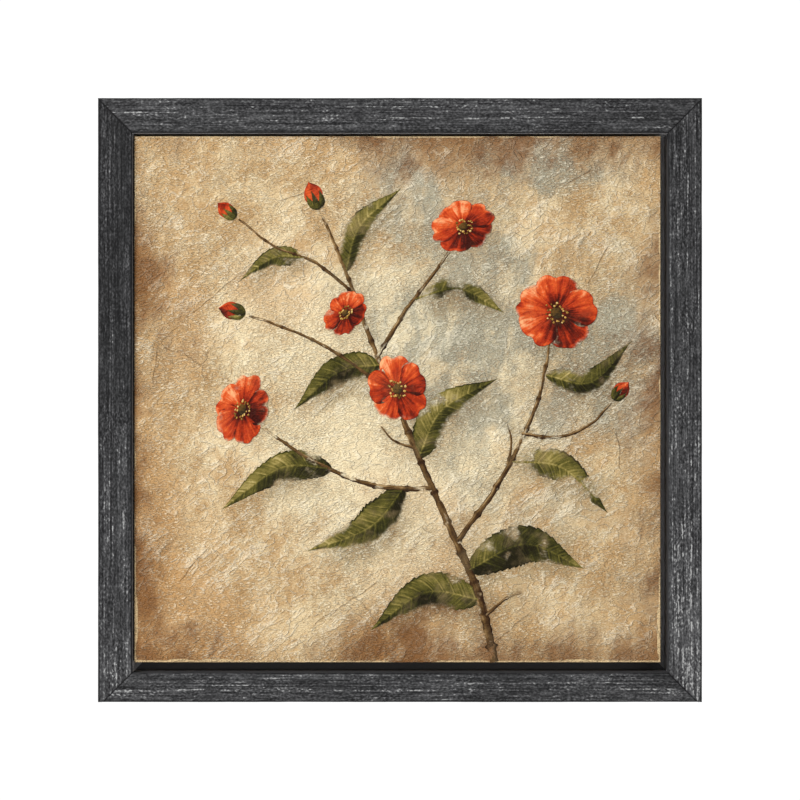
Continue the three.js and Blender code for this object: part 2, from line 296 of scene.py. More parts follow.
class Finish:
    """A material under construction."""

    def __init__(self, name):
        self.material = bpy.data.materials.new(name)
        self.material.use_nodes = True
        self.tree = self.material.node_tree
        self.tree.nodes.clear()

    def node(self, kind, settings=None, inputs=None, output=0):
        """A node of any kind: its settings first, then the values or links of its sockets."""
        made = self.tree.nodes.new(kind)
        for key, value in (settings or {}).items():
            if key == "stops":
                self.set_stops(made.color_ramp.elements, value)
            else:
                setattr(made, key, value)
        for key, value in (inputs or {}).items():
            if isinstance(value, Value):
                self.tree.links.new(value.socket, made.inputs[key])
            else:
                made.inputs[key].default_value = value
        return Value(self, made.outputs[output])

    @staticmethod
    def set_stops(elements, stops):
        while len(elements) < len(stops):
            elements.new(1)
        for element, (position, colour) in zip(elements, stops):
            element.position = position
            element.color = (*colour, 1)

    def place(self, scale=(1, 1, 1), shift=(0, 0, 0), turn=(0, 0, 0)):
        """Object coordinates, scaled, turned and shifted."""
        return self.moved(self.node("ShaderNodeTexCoord", output="Object"), scale, shift, turn)

    def surface_place(self, scale=(1, 1, 1), shift=(0, 0, 0)):
        """The piece's own flat coordinates, in metres along its surface, scaled and shifted."""
        return self.moved(self.node("ShaderNodeUVMap", {"uv_map": "surface"}), scale, shift)

    def moved(self, vector, scale, shift, turn=(0, 0, 0)):
        inputs = {"Vector": vector, "Location": shift, "Rotation": turn, "Scale": scale}
        return self.node("ShaderNodeMapping", {}, inputs)

    def slanted(self, rise, stretch):
        """Object coordinates for marks that are stretched along a slope of so many degrees."""
        inputs = {"Vector": self.node("ShaderNodeTexCoord", output="Object")}
        inputs |= {"Rotation": (0, math.radians(-rise), 0), "Scale": (stretch, 1, 1)}
        return self.node("ShaderNodeMapping", {"vector_type": "TEXTURE"}, inputs)

    def layer(self, name):
        """A number stored at each point of the mesh."""
        return self.node("ShaderNodeAttribute", {"attribute_name": name}, output="Fac")

    def noise(self, vector, scale, detail=3, roughness=0.55, distortion=0.0):
        inputs = {"Vector": vector, "Scale": scale, "Detail": detail}
        inputs |= {"Roughness": roughness, "Distortion": distortion}
        return self.node("ShaderNodeTexNoise", {}, inputs)

    def streaks(self, along, across, detail=2, roughness=0.55, distortion=0.0, shift=(0, 0, 0)):
        """Noise on the piece's flat coordinates, with so many waves to a metre along and across it."""
        place = self.surface_place((along, across, 1), shift)
        return self.noise(place, 1.0, detail, roughness, distortion)

    def cells(self, vector, scale, feature="F1"):
        """Distance to the nearest seed point, or to the nearest border between cells."""
        inputs = {"Vector": vector, "Scale": scale}
        return self.node("ShaderNodeTexVoronoi", {"feature": feature}, inputs)

    def mix(self, factor, first, second):
        """A colour between two colours."""
        first, second = (c if isinstance(c, Value) else (*c[:3], 1) for c in (first, second))
        inputs = {0: factor, 6: first, 7: second}
        return self.node("ShaderNodeMix", {"data_type": "RGBA"}, inputs, output=2)

    def ramp(self, value, stops):
        return self.node("ShaderNodeValToRGB", {"stops": stops}, {0: value})

    def bumps(self, height, distance, normal=None):
        """A normal from a height, distance metres from its lowest to its highest."""
        inputs = {"Height": height, "Distance": distance, "Strength": 1.0}
        if normal is not None:
            inputs["Normal"] = normal
        return self.node("ShaderNodeBump", {}, inputs)

    def done(self, inputs):
        """Feeds a Principled shader and returns the material."""
        shader = self.node("ShaderNodeBsdfPrincipled", {}, inputs)
        surface = self.tree.nodes.new("ShaderNodeOutputMaterial").inputs["Surface"]
        self.tree.links.new(shader.socket, surface)
        return self.material


# The moulding


def straight(start, end, step):
    """Evenly spaced points of a line, without its last one."""
    count = max(1, round(math.dist(start, end) / step))
    t = np.linspace(0, 1, count, endpoint=False)[:, None]
    return np.array(start) * (1 - t) + np.array(end) * t


def arc(centre, radius, start, end, count=4):
    """Evenly spaced points of an arc between two angles in degrees, without its last one."""
    angle = np.radians(np.linspace(start, end, count, endpoint=False))
    return np.array(centre) + radius * np.stack([np.cos(angle), np.sin(angle)], -1)


def moulding_section(face, step, shaded):
    """The moulding's section for a face of some width, going round from the back: inset from the outer
    edge and height above the back. With each point, from 0 to 1: how deeply it is brushed, how dark it is
    stained, and how much painted shade it gets at the edges of the face, at the outer edge and some way
    in from the gap; and how many millimetres deep it lies in the gap."""
    width, depth, ledge = face + LEDGE_REACH, FRAME_DEPTH, LEDGE_THICKNESS
    back, outer, inner = BACK_EDGE_RADIUS, OUTER_EDGE_RADIUS, INNER_EDGE_RADIUS
    runs = [
        (straight((width, 0), (back, 0), 1.2), 0.25, 0.0, 0),
        (arc((back, back), back, 270, 180), 0.3, 0.6, 0),
        (straight((0, back), (0, depth - outer), 1.8 * step), 0.75, 1.0, 0),
        (arc((outer, depth - outer), outer, 180, 90), 0.8, 1.0, 0),
        (straight((outer, depth), (face - inner, depth), step), 1.0, 1.0, 0),
        (arc((face - inner, depth - inner), inner, 90, 0), 0.6, 1.0, 0),
        (straight((face, depth - inner), (face, ledge), 1.4), 0.15, 1.0, 1),
        (straight((face, ledge), (width, ledge), 2.5), 0.1, 1.0, 1),
        (straight((width, ledge), (width, 0), 1.6), 0.1, 0.8, 0),
    ]
    points = np.concatenate([run[0] for run in runs])
    brushed, stained, deep = np.concatenate([np.tile(run[1:], (len(run[0]), 1)) for run in runs]).T
    # Painted shade: the face darkens at its rounded outer edge and some way in from the gap
    edge = np.exp(-((points[:, 0] / 0.7) ** 2)) + 0.5 * np.exp(-(((face - points[:, 0]) / shaded) ** 2))
    edge *= points[:, 1] > depth - 1.5
    return points, brushed, stained, edge, deep * (depth - points[:, 1])


def outward(points):
    """Unit normals of a closed outline that goes clockwise, from its neighbours' difference."""
    along = np.roll(points, -1, 0) - np.roll(points, 1, 0)
    normal = np.stack([-along[:, 1], along[:, 0]], -1)
    return normal / np.linalg.norm(normal, axis=1, keepdims=True)


def brushed_grain(along, across, seed):
    """Relief of brushed open grain, from -1 to 1, at points given along and across the fibres: noise
    stretched 10 to 20 times along the rail, on a line across that wanders by slower noise."""
    wander = 0.9 * noise(along / 52, across / 9, seed) + 0.3 * noise(along / 13, across / 4, seed + 1)
    line = across + wander
    fine = noise(along / 9, line / 0.8, seed + 2)
    medium = noise(along / 21, line / 1.5, seed + 3)
    short = noise(along / 3.2, line / 0.8, seed + 4)
    return np.clip(0.5 * fine + 0.4 * medium + 0.3 * short, -1, 1)


def mitred_rows(quarter, inset, rows):
    """Places along a rail for each inset of its section: shares of the way between its two mitres, even
    but for a few close ones at each end. Also the distance to the nearer mitre. A rail with a wider face
    than its neighbour runs past the neighbour's outer edge."""
    half = FRAME_SIDE / 2
    face = FACE_WIDTHS[RAILS[quarter]]
    last, first = (face - FACE_WIDTHS[RAILS[(quarter + i) % 4]] for i in (-1, 1))
    mitre = [half - inset + more for more in (first, last)]
    ends = [-np.minimum(half, mitre[0]), np.minimum(half, mitre[1])]
    near_end = np.array(MITRE_ROWS) / FRAME_SIDE
    between = np.linspace(EVEN_ROWS_FROM / FRAME_SIDE, 1 - EVEN_ROWS_FROM / FRAME_SIDE, rows)
    share = np.concatenate([near_end, between, 1 - near_end[::-1]])
    x = ends[0] + share[:, None] * (ends[1] - ends[0])
    return x, np.minimum(x + mitre[0], mitre[1] - x) / math.sqrt(2)


def pale_lines(lines, x, inset, seed):
    """Distance to the nearest of a rail's long pale lines, and that line's strength there. A line keeps
    to its inset but for slow noise, and is broken up by quicker noise."""
    nearest, strength = np.full(x.shape, FAR), np.zeros(x.shape)
    for at, start, end, full in lines:
        off = np.abs(inset + 0.6 * noise(x / 34, at, seed) - at)
        broken = ease(noise(x / 5, at, seed + 1) + 0.7 * noise(x / 24, at, seed + 2), -0.3, 0.5)
        run = ease(x, start, start + 15) * (1 - ease(x, end, end + 15))
        strength = np.where(off < nearest, full * broken * run, strength)
        nearest = np.minimum(off, nearest)
    return nearest, strength


def rail_piece(quarter, rail, finish):
    """One brushed rail. The section is swept along x between the mitre planes, raised along its own
    normal by the grain, and cut by a groove at the mitre; then it is turned by quarters."""
    name = RAILS[quarter]
    points, brushed, stained, edge, deep = moulding_section(
        FACE_WIDTHS[name], rail.step, rail.shaded[quarter]
    )
    normal = outward(points)
    length = np.linalg.norm(np.roll(points, -1, 0) - points, axis=1)
    across = np.concatenate([[0], np.cumsum(length)[:-1]])
    x, to_mitre = mitred_rows(quarter, points[:, 0], rail.rows)

    seed = 101 + 40 * quarter
    fibre = brushed_grain(x, across, seed)
    relief = rail.relief * brushed * fibre
    relief += brushed * 0.1 * layered_noise(x / 55, across / 16, seed + 6, 2)
    groove = np.exp(-((to_mitre / GROOVE_WIDTH) ** 2))
    from_middle = np.abs(points[:, 1] - FRAME_DEPTH / 2)
    relief -= GROOVE_DEPTH * groove * (points[:, 0] > 1) * (from_middle > FRAME_DEPTH / 2 - 0.3)
    inset = points[:, 0] + normal[:, 0] * relief
    height = points[:, 1] + normal[:, 1] * relief

    half = FRAME_SIDE / 2
    flat = np.stack([x, -height, inset - half], -1).reshape(-1, 3)
    cos, sin = round(math.cos(quarter * math.pi / 2)), round(math.sin(quarter * math.pi / 2))
    turned = flat @ np.array([[cos, 0, -sin], [0, 1, 0], [sin, 0, cos]])
    turned += [FRAME_X, FRAME_BACK, FRAME_Z]

    rows, columns = x.shape
    faces = grid_quads(rows, columns, closed=True)[:, ::-1].tolist()
    faces.append(list(range(columns)))
    faces.append(list(range((rows - 1) * columns, rows * columns))[::-1])
    off_vein, vein = pale_lines(rail.veins[quarter], x, points[:, 0], seed + 9)
    starts = rail.gap_starts[quarter]
    layers = {
        "fibre": fibre,
        "off_vein": off_vein,
        "vein": vein * (deep == 0),
        "tone": np.interp(x, [-half, 0, half], rail.tones[quarter]),
        "groove": groove,
        "stained": stained,
        "brushed": brushed,
        # painted shade along the face's edges
        "edge": edge,
        # how far painted light makes the gap paler, growing with depth
        "gap": rail.gap_tones[quarter] * ease(deep, starts, starts + 6),
    }
    layers = {key: np.broadcast_to(values, x.shape) for key, values in layers.items()}
    uv = np.stack([x, np.broadcast_to(across + GRAIN_SHIFT * quarter, x.shape)], -1).reshape(-1, 2)
    piece = make_piece(f"{name}_brushed", turned, faces, finish, layers, uv, 50)
    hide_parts(name)


def bare_wood(f, lines, hairs, smears, bands, cloud):
    """Colour of the rails' unwashed back: growth rings as a saw wave of slow noise, with dark pores."""
    flow = f.streaks(3.2, 40, 2, 0.5, shift=(4, 9, 0))
    ring = (flow * 16).fraction()
    late = ring.eased(0.35, 0.95) * (1 - ring.eased(0.95, 1.0))
    pores = f.streaks(130, 1900, 1, 0.5, shift=(5, 3, 0))
    rings = (cloud - 0.5) * 0.5 + (lines - 0.5) * 0.5 + (hairs - 0.5) * 0.3 - late * 0.16 + 0.58
    bare = f.ramp(rings, BARE_WOOD)
    bare = f.mix((pores + late * 0.1).eased(0.6, 0.7) * 0.6, bare, WOOD_PORE)
    bare = f.mix((bands + smears * 0.4).eased(0.74, 0.95) * 0.4, bare, OVERSPRAY)
    return f.mix(f.layer("groove") * 0.75, bare, OPEN_MITRE)


def charcoal_finish(rail):
    """Black-washed wood. Long lines, hairs and specks add up to one grey, stronger where the wood is worn,
    with smears and clouds under them, and painted shade along the face's edges; painted light makes the
    gap's black paler with depth. The back is bare wood with overspray at its edges."""
    f = Finish("charcoal_washed_wood")
    lines = f.streaks(9, 900, 1, 0.5)
    hairs = f.streaks(60, 1000, 1.5, 0.6, 0.4)
    specks = f.streaks(600, 1000, 1, 0.5, 0.3)
    smears = f.streaks(150, 450, 2, 0.5, 0.8)
    bands = f.streaks(22, 190, 3, 0.6)
    cloud = f.streaks(14, 45, 3)
    worn = f.streaks(34, 120, shift=(3, 7, 0)).eased(0.36, 0.64) * 0.5 + 0.75

    tone = f.layer("tone")
    fine = (specks - 0.5) * 1.3 + (lines - 0.5) * 1.0 + (hairs - 0.5) * 0.7
    fine = fine * worn * f.layer("brushed") * rail.contrast
    grey = fine + (smears - 0.5) * 0.8 + (bands - 0.5) * 0.45 + (cloud - 0.5) * 0.35
    grey = grey + tone + f.layer("fibre") * 0.03
    dash = (0.5 - f.layer("off_vein")).eased(0.0, 0.3) * (hairs + specks * 0.6).eased(0.62, 0.84)
    # The edge layer is painted shade along the face's edges
    grey = grey + dash * f.layer("vein") * 0.8 - f.layer("edge") * 0.75 - f.layer("groove") * 0.8
    stain = f.ramp(grey, rail.greys)
    # Painted light: the gap's black is mixed towards a pale grey with depth
    black = f.mix(f.layer("gap"), rail.gap_colour, rail.deep_gap_painted_light)
    smooth = f.mix(f.layer("brushed").eased(0.2, 0.5), black, stain)

    bare = bare_wood(f, lines, hairs, smears, bands, cloud)
    cover = (f.layer("stained") + (cloud - 0.5) * 0.9 + (hairs - 0.5) * 0.6).eased(0.3, 0.62)
    height = lines + hairs + specks * 1.2
    return f.done(
        {
            "Base Color": f.mix(cover, bare, smooth),
            "Roughness": 0.8 - grey * 0.15,
            "Normal": f.bumps(height, 0.0002),
            "Specular IOR Level": 0.2,
        }
    )


# The canvas


def ground_relief(a, b):
    """Height of the painted ground in millimetres, from about -0.25 to 0.25: trowelled swells 20 to 50 mm
    wide, slanting brushed ridges 3 mm wide, and pebbles 2 to 3 mm wide."""
    swell = layered_noise(a / 46, b / 46, 301, 3)
    slant = (a * 0.8 + 0.6 * b + 2 * noise(a / 17, b / 17, 302)) / 5.2
    ridge = noise(slant, (0.8 * b - 0.6 * a) / 2.3, 303)
    pebble = noise(a / 2.1, b / 2.1, 304)
    return 0.06 * swell + 0.06 * ridge + 0.07 * pebble


class GroundSurface:
    """The front of the painted ground: heights on a square grid, straight between its points."""

    def __init__(self, cells):
        self.line = np.linspace(-1, 1, cells + 1) * (CANVAS_SIDE / 2 - CANVAS_EDGE_RADIUS)
        b, a = np.meshgrid(self.line, self.line, indexing="ij")
        self.rise = ground_relief(a, b)

    def at(self, a, b):
        """Height at any points."""
        x, y = ((v - self.line[0]) / (self.line[1] - self.line[0]) for v in (a, b))
        x, y = (np.clip(v, 0, len(self.line) - 1.001) for v in (x, y))
        i, j = x.astype(int), y.astype(int)
        x, y = x - i, y - j
        low = self.rise[j, i] * (1 - x) + self.rise[j, i + 1] * x
        high = self.rise[j + 1, i] * (1 - x) + self.rise[j + 1, i + 1] * x
        return low * (1 - y) + high * y


def wrapped_square(line, rise, path):
    """A square sheet folded back over its four edges. Its front is a grid, raised by rise; from its
    border, loops follow the path, each a half side and a depth behind the front. Gives the points, each
    loop's numbers, and the quads."""
    b, a = np.meshgrid(line, line, indexing="ij")
    count = len(line)
    front = np.stack([a, -rise, b], -1).reshape(-1, 3)
    loops = [border_loop(count, count)]
    border = front[loops[0]]
    rings = []
    for half, depth in path:
        ring = border * [half / line[-1], max(0, 1 - depth / 2), half / line[-1]]
        rings.append(ring + [0, depth, 0])
        loops.append(count * count + (len(rings) - 1) * len(border) + np.arange(len(border)))
    quads = [grid_quads(count, count)] + [loop_quads(*pair) for pair in zip(loops[:-1], loops[1:])]
    return np.concatenate([front, *rings]), loops, np.concatenate(quads).tolist()


def rounded(half, radius, depth, start, end, count=4):
    """Path points round an edge: angle 0 faces the front and 90 faces outward."""
    angle = np.radians(np.linspace(start, end, count))
    return [(half - radius + radius * math.sin(t), depth - radius * math.cos(t)) for t in angle]


def painted_ground(surface, painting, finish):
    """The skin of ground and paint: a fine grid raised by its relief, turned over the edges and run
    back along the sides to a ragged rim, with a flat inside."""
    half, radius, wrap = CANVAS_SIDE / 2, CANVAS_EDGE_RADIUS, painting.side_wrap
    path = rounded(half, radius, radius, 25, 90) + [(half, d) for d in (3, 6, 10, wrap - 1, wrap)]
    path += [(half - PAINT_SKIN + 0.02, wrap), (half - PAINT_SKIN + 0.02, PAINT_SKIN - 0.02)]
    points, loops, faces = wrapped_square(surface.line, surface.rise, path)
    faces.append(loops[-1][::-1].tolist())
    rim = np.concatenate(loops[-4:-1])
    points[rim, 1] += 0.8 * noise(points[rim, 0] / 4, points[rim, 2] / 4, 311)
    a, b = points[:, 0].copy(), points[:, 2].copy()
    points += [CANVAS_X, CANVAS_FRONT, CANVAS_Z]
    layers = ground_layers(a, b, painting)
    layers["side"] = np.clip(points[:, 1] - CANVAS_FRONT, 0, 1)
    make_piece("painted_ground", points, faces, finish, layers, None, 60)


def ground_layers(a, b, painting):
    """Broad patches of the painted ground, each a number from 0 to 1: glow where the light cream is,
    cool where blue-grey is scumbled over it, ochre where it is warm, brown towards the edges, shade
    round the motifs; and flake, whose level lines are the edges of thick plaster."""
    u, v = a / (CANVAS_SIDE / 2), b / (CANVAS_SIDE / 2)
    drift = layered_noise(u * 1.7 + 3, v * 1.7, painting.seed, 5)
    drift2 = layered_noise(u * 1.5 - 7, v * 2.1, painting.seed + 50, 5)
    drift3 = layered_noise(u * 2.6 + 11, v * 2.2, painting.seed + 90, 5)
    rim = np.maximum(np.abs(u), np.abs(v))
    corner = np.abs(u * v)
    return {
        "glow": ease(0.92 - np.hypot(u + 0.12, v + 0.12) + 0.45 * drift, 0.0, 0.9),
        "cool": ease(0.78 - np.hypot(u - 0.5, (v - 0.3) * 0.8) + 0.6 * drift2, 0.0, 0.8),
        "ochre": ease(0.5 * drift3 - 0.55 * u - 0.25 * v, -0.1, 0.8),
        "brown": ease(rim - 0.04 * u + 0.2 * drift2 + 0.14 * drift3 + 0.12 * corner, 0.72, 1.27),
        "shade": smudges(a, b),
        # where a pale strip is painted along the canvas's edges as a highlight
        "rim": painted_edge_highlight(a, b),
        "scratch": scratches(a, b),
        "flake": layered_noise(u * 4.2, v * 4.2 + 5, painting.seed + 130, 6),
    }


def painted_edge_highlight(a, b):
    """Share of the painted highlight along the canvas's edges: 1 at the edges, falling off over some
    millimetres that vary along them.
    """
    half = CANVAS_SIDE / 2
    inside = half - np.maximum(np.abs(a), np.abs(b))
    reach = np.maximum(0.05, 0.9 + 1.6 * noise(a / 66, b / 66, 341) + 0.9 * noise(a / 9, b / 9, 342))
    return 1 - ease(inside, reach * 0.5, reach)


def scratches(a, b):
    """Distance to the nearest scratch, in millimetres, positive on its upper left; far where none is near.
    A scratch is a line with a slow sideways wander, and it fades in and out at its ends."""
    nearest = np.full(np.shape(a), FAR)
    for x, y, angle, length in SCRATCHES:
        along, aside = unit(angle), unit(angle + 90)
        run = (a - x) * along[0] + (b - y) * along[1]
        off = (a - x) * aside[0] + (b - y) * aside[1]
        off = off + 1.2 * noise(run / 14, x, 343) + 0.4 * noise(run / 4, x, 344)
        off = off + np.sign(off) * 9 * ease(np.abs(run), length * 0.4, length * 0.55)
        nearest = np.where(np.abs(off) < np.abs(nearest), off, nearest)
    return nearest


def smudges(a, b):
    """Soft shade round the motifs: blots of exp(-(distance / radius)^2), a little to the lower right."""
    blots = []
    for stem in STEMS:
        points, _, along = spine(stem["knots"], 14)
        blots += [(p, 3.5 + 9 * (along[-1] > 120), 0.14) for p in points]
    for leaf in LEAVES:
        points, _, _ = spine(leaf["knots"], 7)
        blots += [(p + [3, -4.5], leaf["width"] * 0.66, 0.4) for p in points[1:-1]]
    for blossom in BLOSSOMS:
        blots.append((np.array(blossom["at"]) + [3, -4], blossom["radius"] * 0.95, 0.6))
    clear = np.ones(np.shape(a))
    for (x, y), radius, strength in blots:
        clear *= 1 - strength * np.exp(-((a - x) ** 2 + (b - y) ** 2) / radius**2)
    return 1 - clear


def pebbles(f):
    """The ground's fine relief as one height about 0.5: a fine tooth of short level ridges with some
    coarser dabs, stronger in some places than in others, thin raised lines, and here and there swipes and
    short bristle strokes that slant up to the right."""
    tooth = f.noise(f.slanted(4, 2.6), 1360, 1, 0.5).eased(0.42, 0.66)
    dabs = f.noise(f.slanted(10, 2.0), 560, 1, 0.5, 0.3).eased(0.5, 0.78)
    veins = (0.05 - (f.noise(f.slanted(24, 1.4), 150, 2, 0.5, 0.6) - 0.5).absolute()).eased(0.0, 0.05)
    rough = f.noise(f.place(), 24, 3, 0.6).eased(0.36, 0.62) * 0.8 + 0.4
    brushed = f.noise(f.slanted(30, 1.6), 44, 3).eased(0.46, 0.6)
    strokes = f.noise(f.slanted(38, 6), 620, 1, 0.5).eased(0.56, 0.68) * 0.22
    swipes = f.noise(f.slanted(42, 3.2), 170, 2, 0.5, 0.9).eased(0.5, 0.56) * 0.3
    fine = (tooth - 0.4) * 0.46 + (dabs - 0.3) * 0.18
    return fine * rough + (strokes + swipes) * brushed + veins * (1.3 - rough) * 0.44 + 0.5


def cracks(f):
    """Thin scattered cracks: the borders of bent cells, kept only in a few places."""
    bend = f.node("ShaderNodeTexNoise", {}, {"Vector": f.place(), "Scale": 90.0}, output=1)
    inputs = {0: bend, 1: (0.012,) * 3, 2: f.place()}
    bent = f.node("ShaderNodeVectorMath", {"operation": "MULTIPLY_ADD"}, inputs)
    border = f.cells(bent, 46, "DISTANCE_TO_EDGE")
    where = f.noise(f.place(), 26, 2).eased(0.62, 0.72)
    return (1 - border.eased(0.0, 0.016)) * where


def ground_paint(f, painting):
    """Colour and height of the painted ground: cream over tan, with blue-grey scumble, ochre glaze and
    browned edges, broken up by the relief that it was brushed over. Its ridges are lighter and its hollows
    browner, partly as paint and partly as painted highlight and painted shade, and a pale strip along the
    canvas's edges is a painted highlight."""
    height = pebbles(f)
    crack = cracks(f)
    blotch = f.noise(f.place(), 36, 6, 0.66)
    scuff = f.noise(f.slanted(52, 2.2), 130, 4, 0.65, 0.3)
    mottle = f.noise(f.place(), 260, 3, 0.6)
    rough = (blotch - 0.5) * 1.1 + (scuff - 0.5) * 0.6 + (mottle - 0.5) * 0.2

    def patch(layer, low, high, spread=1.0):
        return (f.layer(layer) + rough * spread).eased(low, high)

    common = (blotch + (scuff - 0.5) * 0.6 + (mottle - 0.5) * 0.4).eased(0.36, 0.64)
    colour = f.mix(common, painting.tan, painting.sand)
    colour = f.mix(patch("glow", 0.0, 0.85, 1.2), colour, painting.cream)
    colour = f.mix(patch("ochre", 0.15, 1.0) * 0.7, colour, painting.ochre)
    flake = f.layer("flake") + (mottle - 0.5) * 0.5 + (scuff - 0.5) * 0.5
    plaster = flake.eased(0.0, 0.14)
    wipes = f.noise(f.slanted(84, 3), 90, 4, 0.6, 0.4)
    thin = 1 - flake.eased(-0.1, 0.3) * 0.7 - wipes.eased(0.45, 0.62) * 0.4
    cool = patch("cool", 0.1, 0.95)
    colour = f.mix(cool * thin.most(0) * 0.9, colour, painting.grey_blue)
    colour = f.mix(cool * wipes.eased(0.52, 0.66) * 0.4, colour, painting.cream)
    colour = f.mix(patch("shade", 0.12, 0.85) * 0.8, colour, painting.shade)
    grit = f.noise(f.slanted(5, 1.5), 1700, 1, 0.5)
    # Ridges lightened and hollows darkened: partly dry-brushed paint and glaze, partly painted highlight and
    # painted shade on the relief
    light = (grit - 0.5) * 0.55 + (height - 0.5) * 0.35
    colour = f.mix(light.eased(0.0, 0.2) * 0.45, colour, painting.highlight)
    colour = f.mix((0 - light).eased(0.0, 0.2) * 0.42, colour, painting.glaze)
    streaked = (f.layer("brown") + rough * 1.3 + (wipes - 0.5) * 0.8).eased(0.1, 0.95)
    colour = f.mix((streaked - light * 0.4) * 0.85, colour, painting.brown)
    pits = f.cells(f.place(), 190).eased(0.0, 0.17)
    pit = (1 - pits) * f.noise(f.place(), 55, 2).eased(0.6, 0.68)
    colour = f.mix((pit * 0.55).most(crack * 0.4), colour, painting.brown)
    # Painted highlight: a pale strip along the canvas's edges, where light catches them
    rim = (f.layer("rim") + (mottle - 0.5) * 0.5).eased(0.35, 0.75)
    colour = f.mix(rim * 0.62, colour, painting.rim)
    scratch = f.layer("scratch")
    groove = (0.5 - scratch.absolute()).eased(0.0, 0.35)
    lip = (1.0 - (scratch - 0.8).absolute()).eased(0.2, 1.0)
    relief = height + plaster * 0.2 - crack * 0.35 - pit * 0.3 - groove * 0.3 + lip * 0.2
    colour = f.mix(groove * 0.35, colour, painting.glaze)
    return colour, relief, height, mottle


def ground_finish(painting):
    """The painted ground, darker and plainer on the canvas's sides."""
    f = Finish("painted_ground")
    colour, relief, height, _ = ground_paint(f, painting)
    colour = f.mix(f.layer("side") * 0.45, colour, painting.tan)
    return f.done(
        {
            "Base Color": colour,
            "Roughness": 0.68 - height * 0.12,
            "Normal": f.bumps(relief, painting.bump * MM),
            "Specular IOR Level": 0.08,
        }
    )


def cloth_path(half, depth, window):
    """The folded cloth's section, as half sides and depths behind the front: round the front's edge, down
    the side, round the back's edge and in along the flap to its cut edge, then back along the inside. Also
    how many of its points lie outside."""
    radius, inside = CANVAS_EDGE_RADIUS, half - COTTON
    path = rounded(half, radius, radius, 30, 90, 3) + [(half, d) for d in (5, 10, 15)]
    path += [(h, 2 * (depth - radius) - d) for h, d in rounded(half, radius, depth - radius, 90, 0, 4)]
    path += [(half - step, depth) for step in (2, 6, 10, 14, 18, 22, 25)] + [(window, depth)]
    outside = len(path)
    path += [(window, depth - COTTON)] + [(half - step, depth - COTTON) for step in (22, 14, 6)]
    path += [(inside, depth - COTTON), (inside, depth / 2)]
    return path, outside


def fold_flap(loop_points, level, half, window):
    """Folds one loop of the flaps' points in place. The upper and lower flaps lie over the other two at
    the mitres, by up to 0.7 mm beyond the ledge, times exp(-distance / 12); all pucker, drop to the bars
    at their cut edge, and fray there. Gives the distance to the mitre, negative on the left and right."""
    x, z = loop_points[:, 0].copy(), loop_points[:, 2].copy()
    sideways = left_or_right(x, z)
    inward = half - level
    near_mitre = level - np.minimum(np.abs(x), np.abs(z))
    over = (0.2 + 0.5 * ease(inward, 10, 13)) * np.exp(-near_mitre / 12) * ~sideways
    flat = ease(inward, 0, 5)
    pucker = 0.1 * noise(x / 9, z / 9, 333) * flat
    loop_points[:, 1] += (over + pucker) * flat - 0.5 * ease(inward, 20, half - window)
    fray = 0.3 * noise(x / 7, z / 7, 334) * (level < window + 0.1)
    loop_points[:, 0] += np.where(sideways, np.sign(x) * fray, 0)
    loop_points[:, 2] += np.where(sideways, 0, np.sign(z) * fray)
    return np.where(sideways, -near_mitre, near_mitre)


def left_or_right(x, z):
    """Whether points of a square sheet belong to its left or right side."""
    return np.abs(x) > np.abs(z) + 1e-6


def cotton_cloth(finish):
    """The cotton itself, 0.5 mm thick: front, sides and flaps as one folded sheet, with an inner face
    that follows the outer one."""
    half = CANVAS_SIDE / 2 - PAINT_SKIN
    depth = CANVAS_BACK - CANVAS_FRONT - PAINT_SKIN
    window = CANVAS_SIDE / 2 - FLAP_WIDTH
    inside = half - COTTON
    grid = np.linspace(-1, 1, CLOTH_CELLS)
    line = np.concatenate([[-1, -0.999], grid[1:-1], [0.999, 1]]) * (half - CANVAS_EDGE_RADIUS)
    path, outside = cloth_path(half, depth, window)
    points, loops, faces = wrapped_square(line, np.zeros((len(line), len(line))), path)

    back = np.array(line) * inside / line[-1]
    b, a = np.meshgrid(back, back, indexing="ij")
    sag = COTTON + 0.12 * layered_noise(a / 70, b / 70, 331, 2) * (1 - np.maximum(abs(a), abs(b)) / inside)
    start = len(points)
    points = np.concatenate([points, np.stack([a, sag, b], -1).reshape(-1, 3)])
    number = border_loop(len(back), len(back)) + start
    faces += loop_quads(loops[-1], number).tolist()
    faces += (grid_quads(len(back), len(back))[:, ::-1] + start).tolist()

    reach = np.concatenate([[0], np.cumsum([math.dist(p, q) for p, q in zip(path[:-1], path[1:])])])
    uv = points[:, [0, 2]].copy()
    layers = {key: np.full(len(points), FAR_FROM_FOLD) for key in ("fold", "hem")}
    for i, (loop, (level, behind)) in enumerate(zip(loops[1:], path)):
        x, z = points[loop, 0], points[loop, 2]
        sideways = left_or_right(x, z)
        across = half + reach[i] if i < outside else -level - INSIDE_SHIFT
        uv[loop, 0] = np.where(sideways, np.sign(x) * across, x)
        uv[loop, 1] = np.where(sideways, z, np.sign(z) * across)
        if behind > depth - COTTON - 0.01:
            folded = points[loop]
            fold = fold_flap(folded, level, half, window)
            points[loop] = folded
            if i < outside:
                layers["fold"][loop] = fold
                layers["hem"][loop] = level - window
    points += [CANVAS_X, CANVAS_FRONT + PAINT_SKIN, CANVAS_Z]
    piece = make_piece("cotton_cloth", points, faces, finish, layers, uv, 60)
    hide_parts("canvas")
    sheet = 2 * (half + depth + half - window) * MM
    sides = 4 * 2 * half * depth
    flaps = 4 * (half + window) * (half - window)
    area = ((2 * half) ** 2 + sides + flaps) * MM * MM


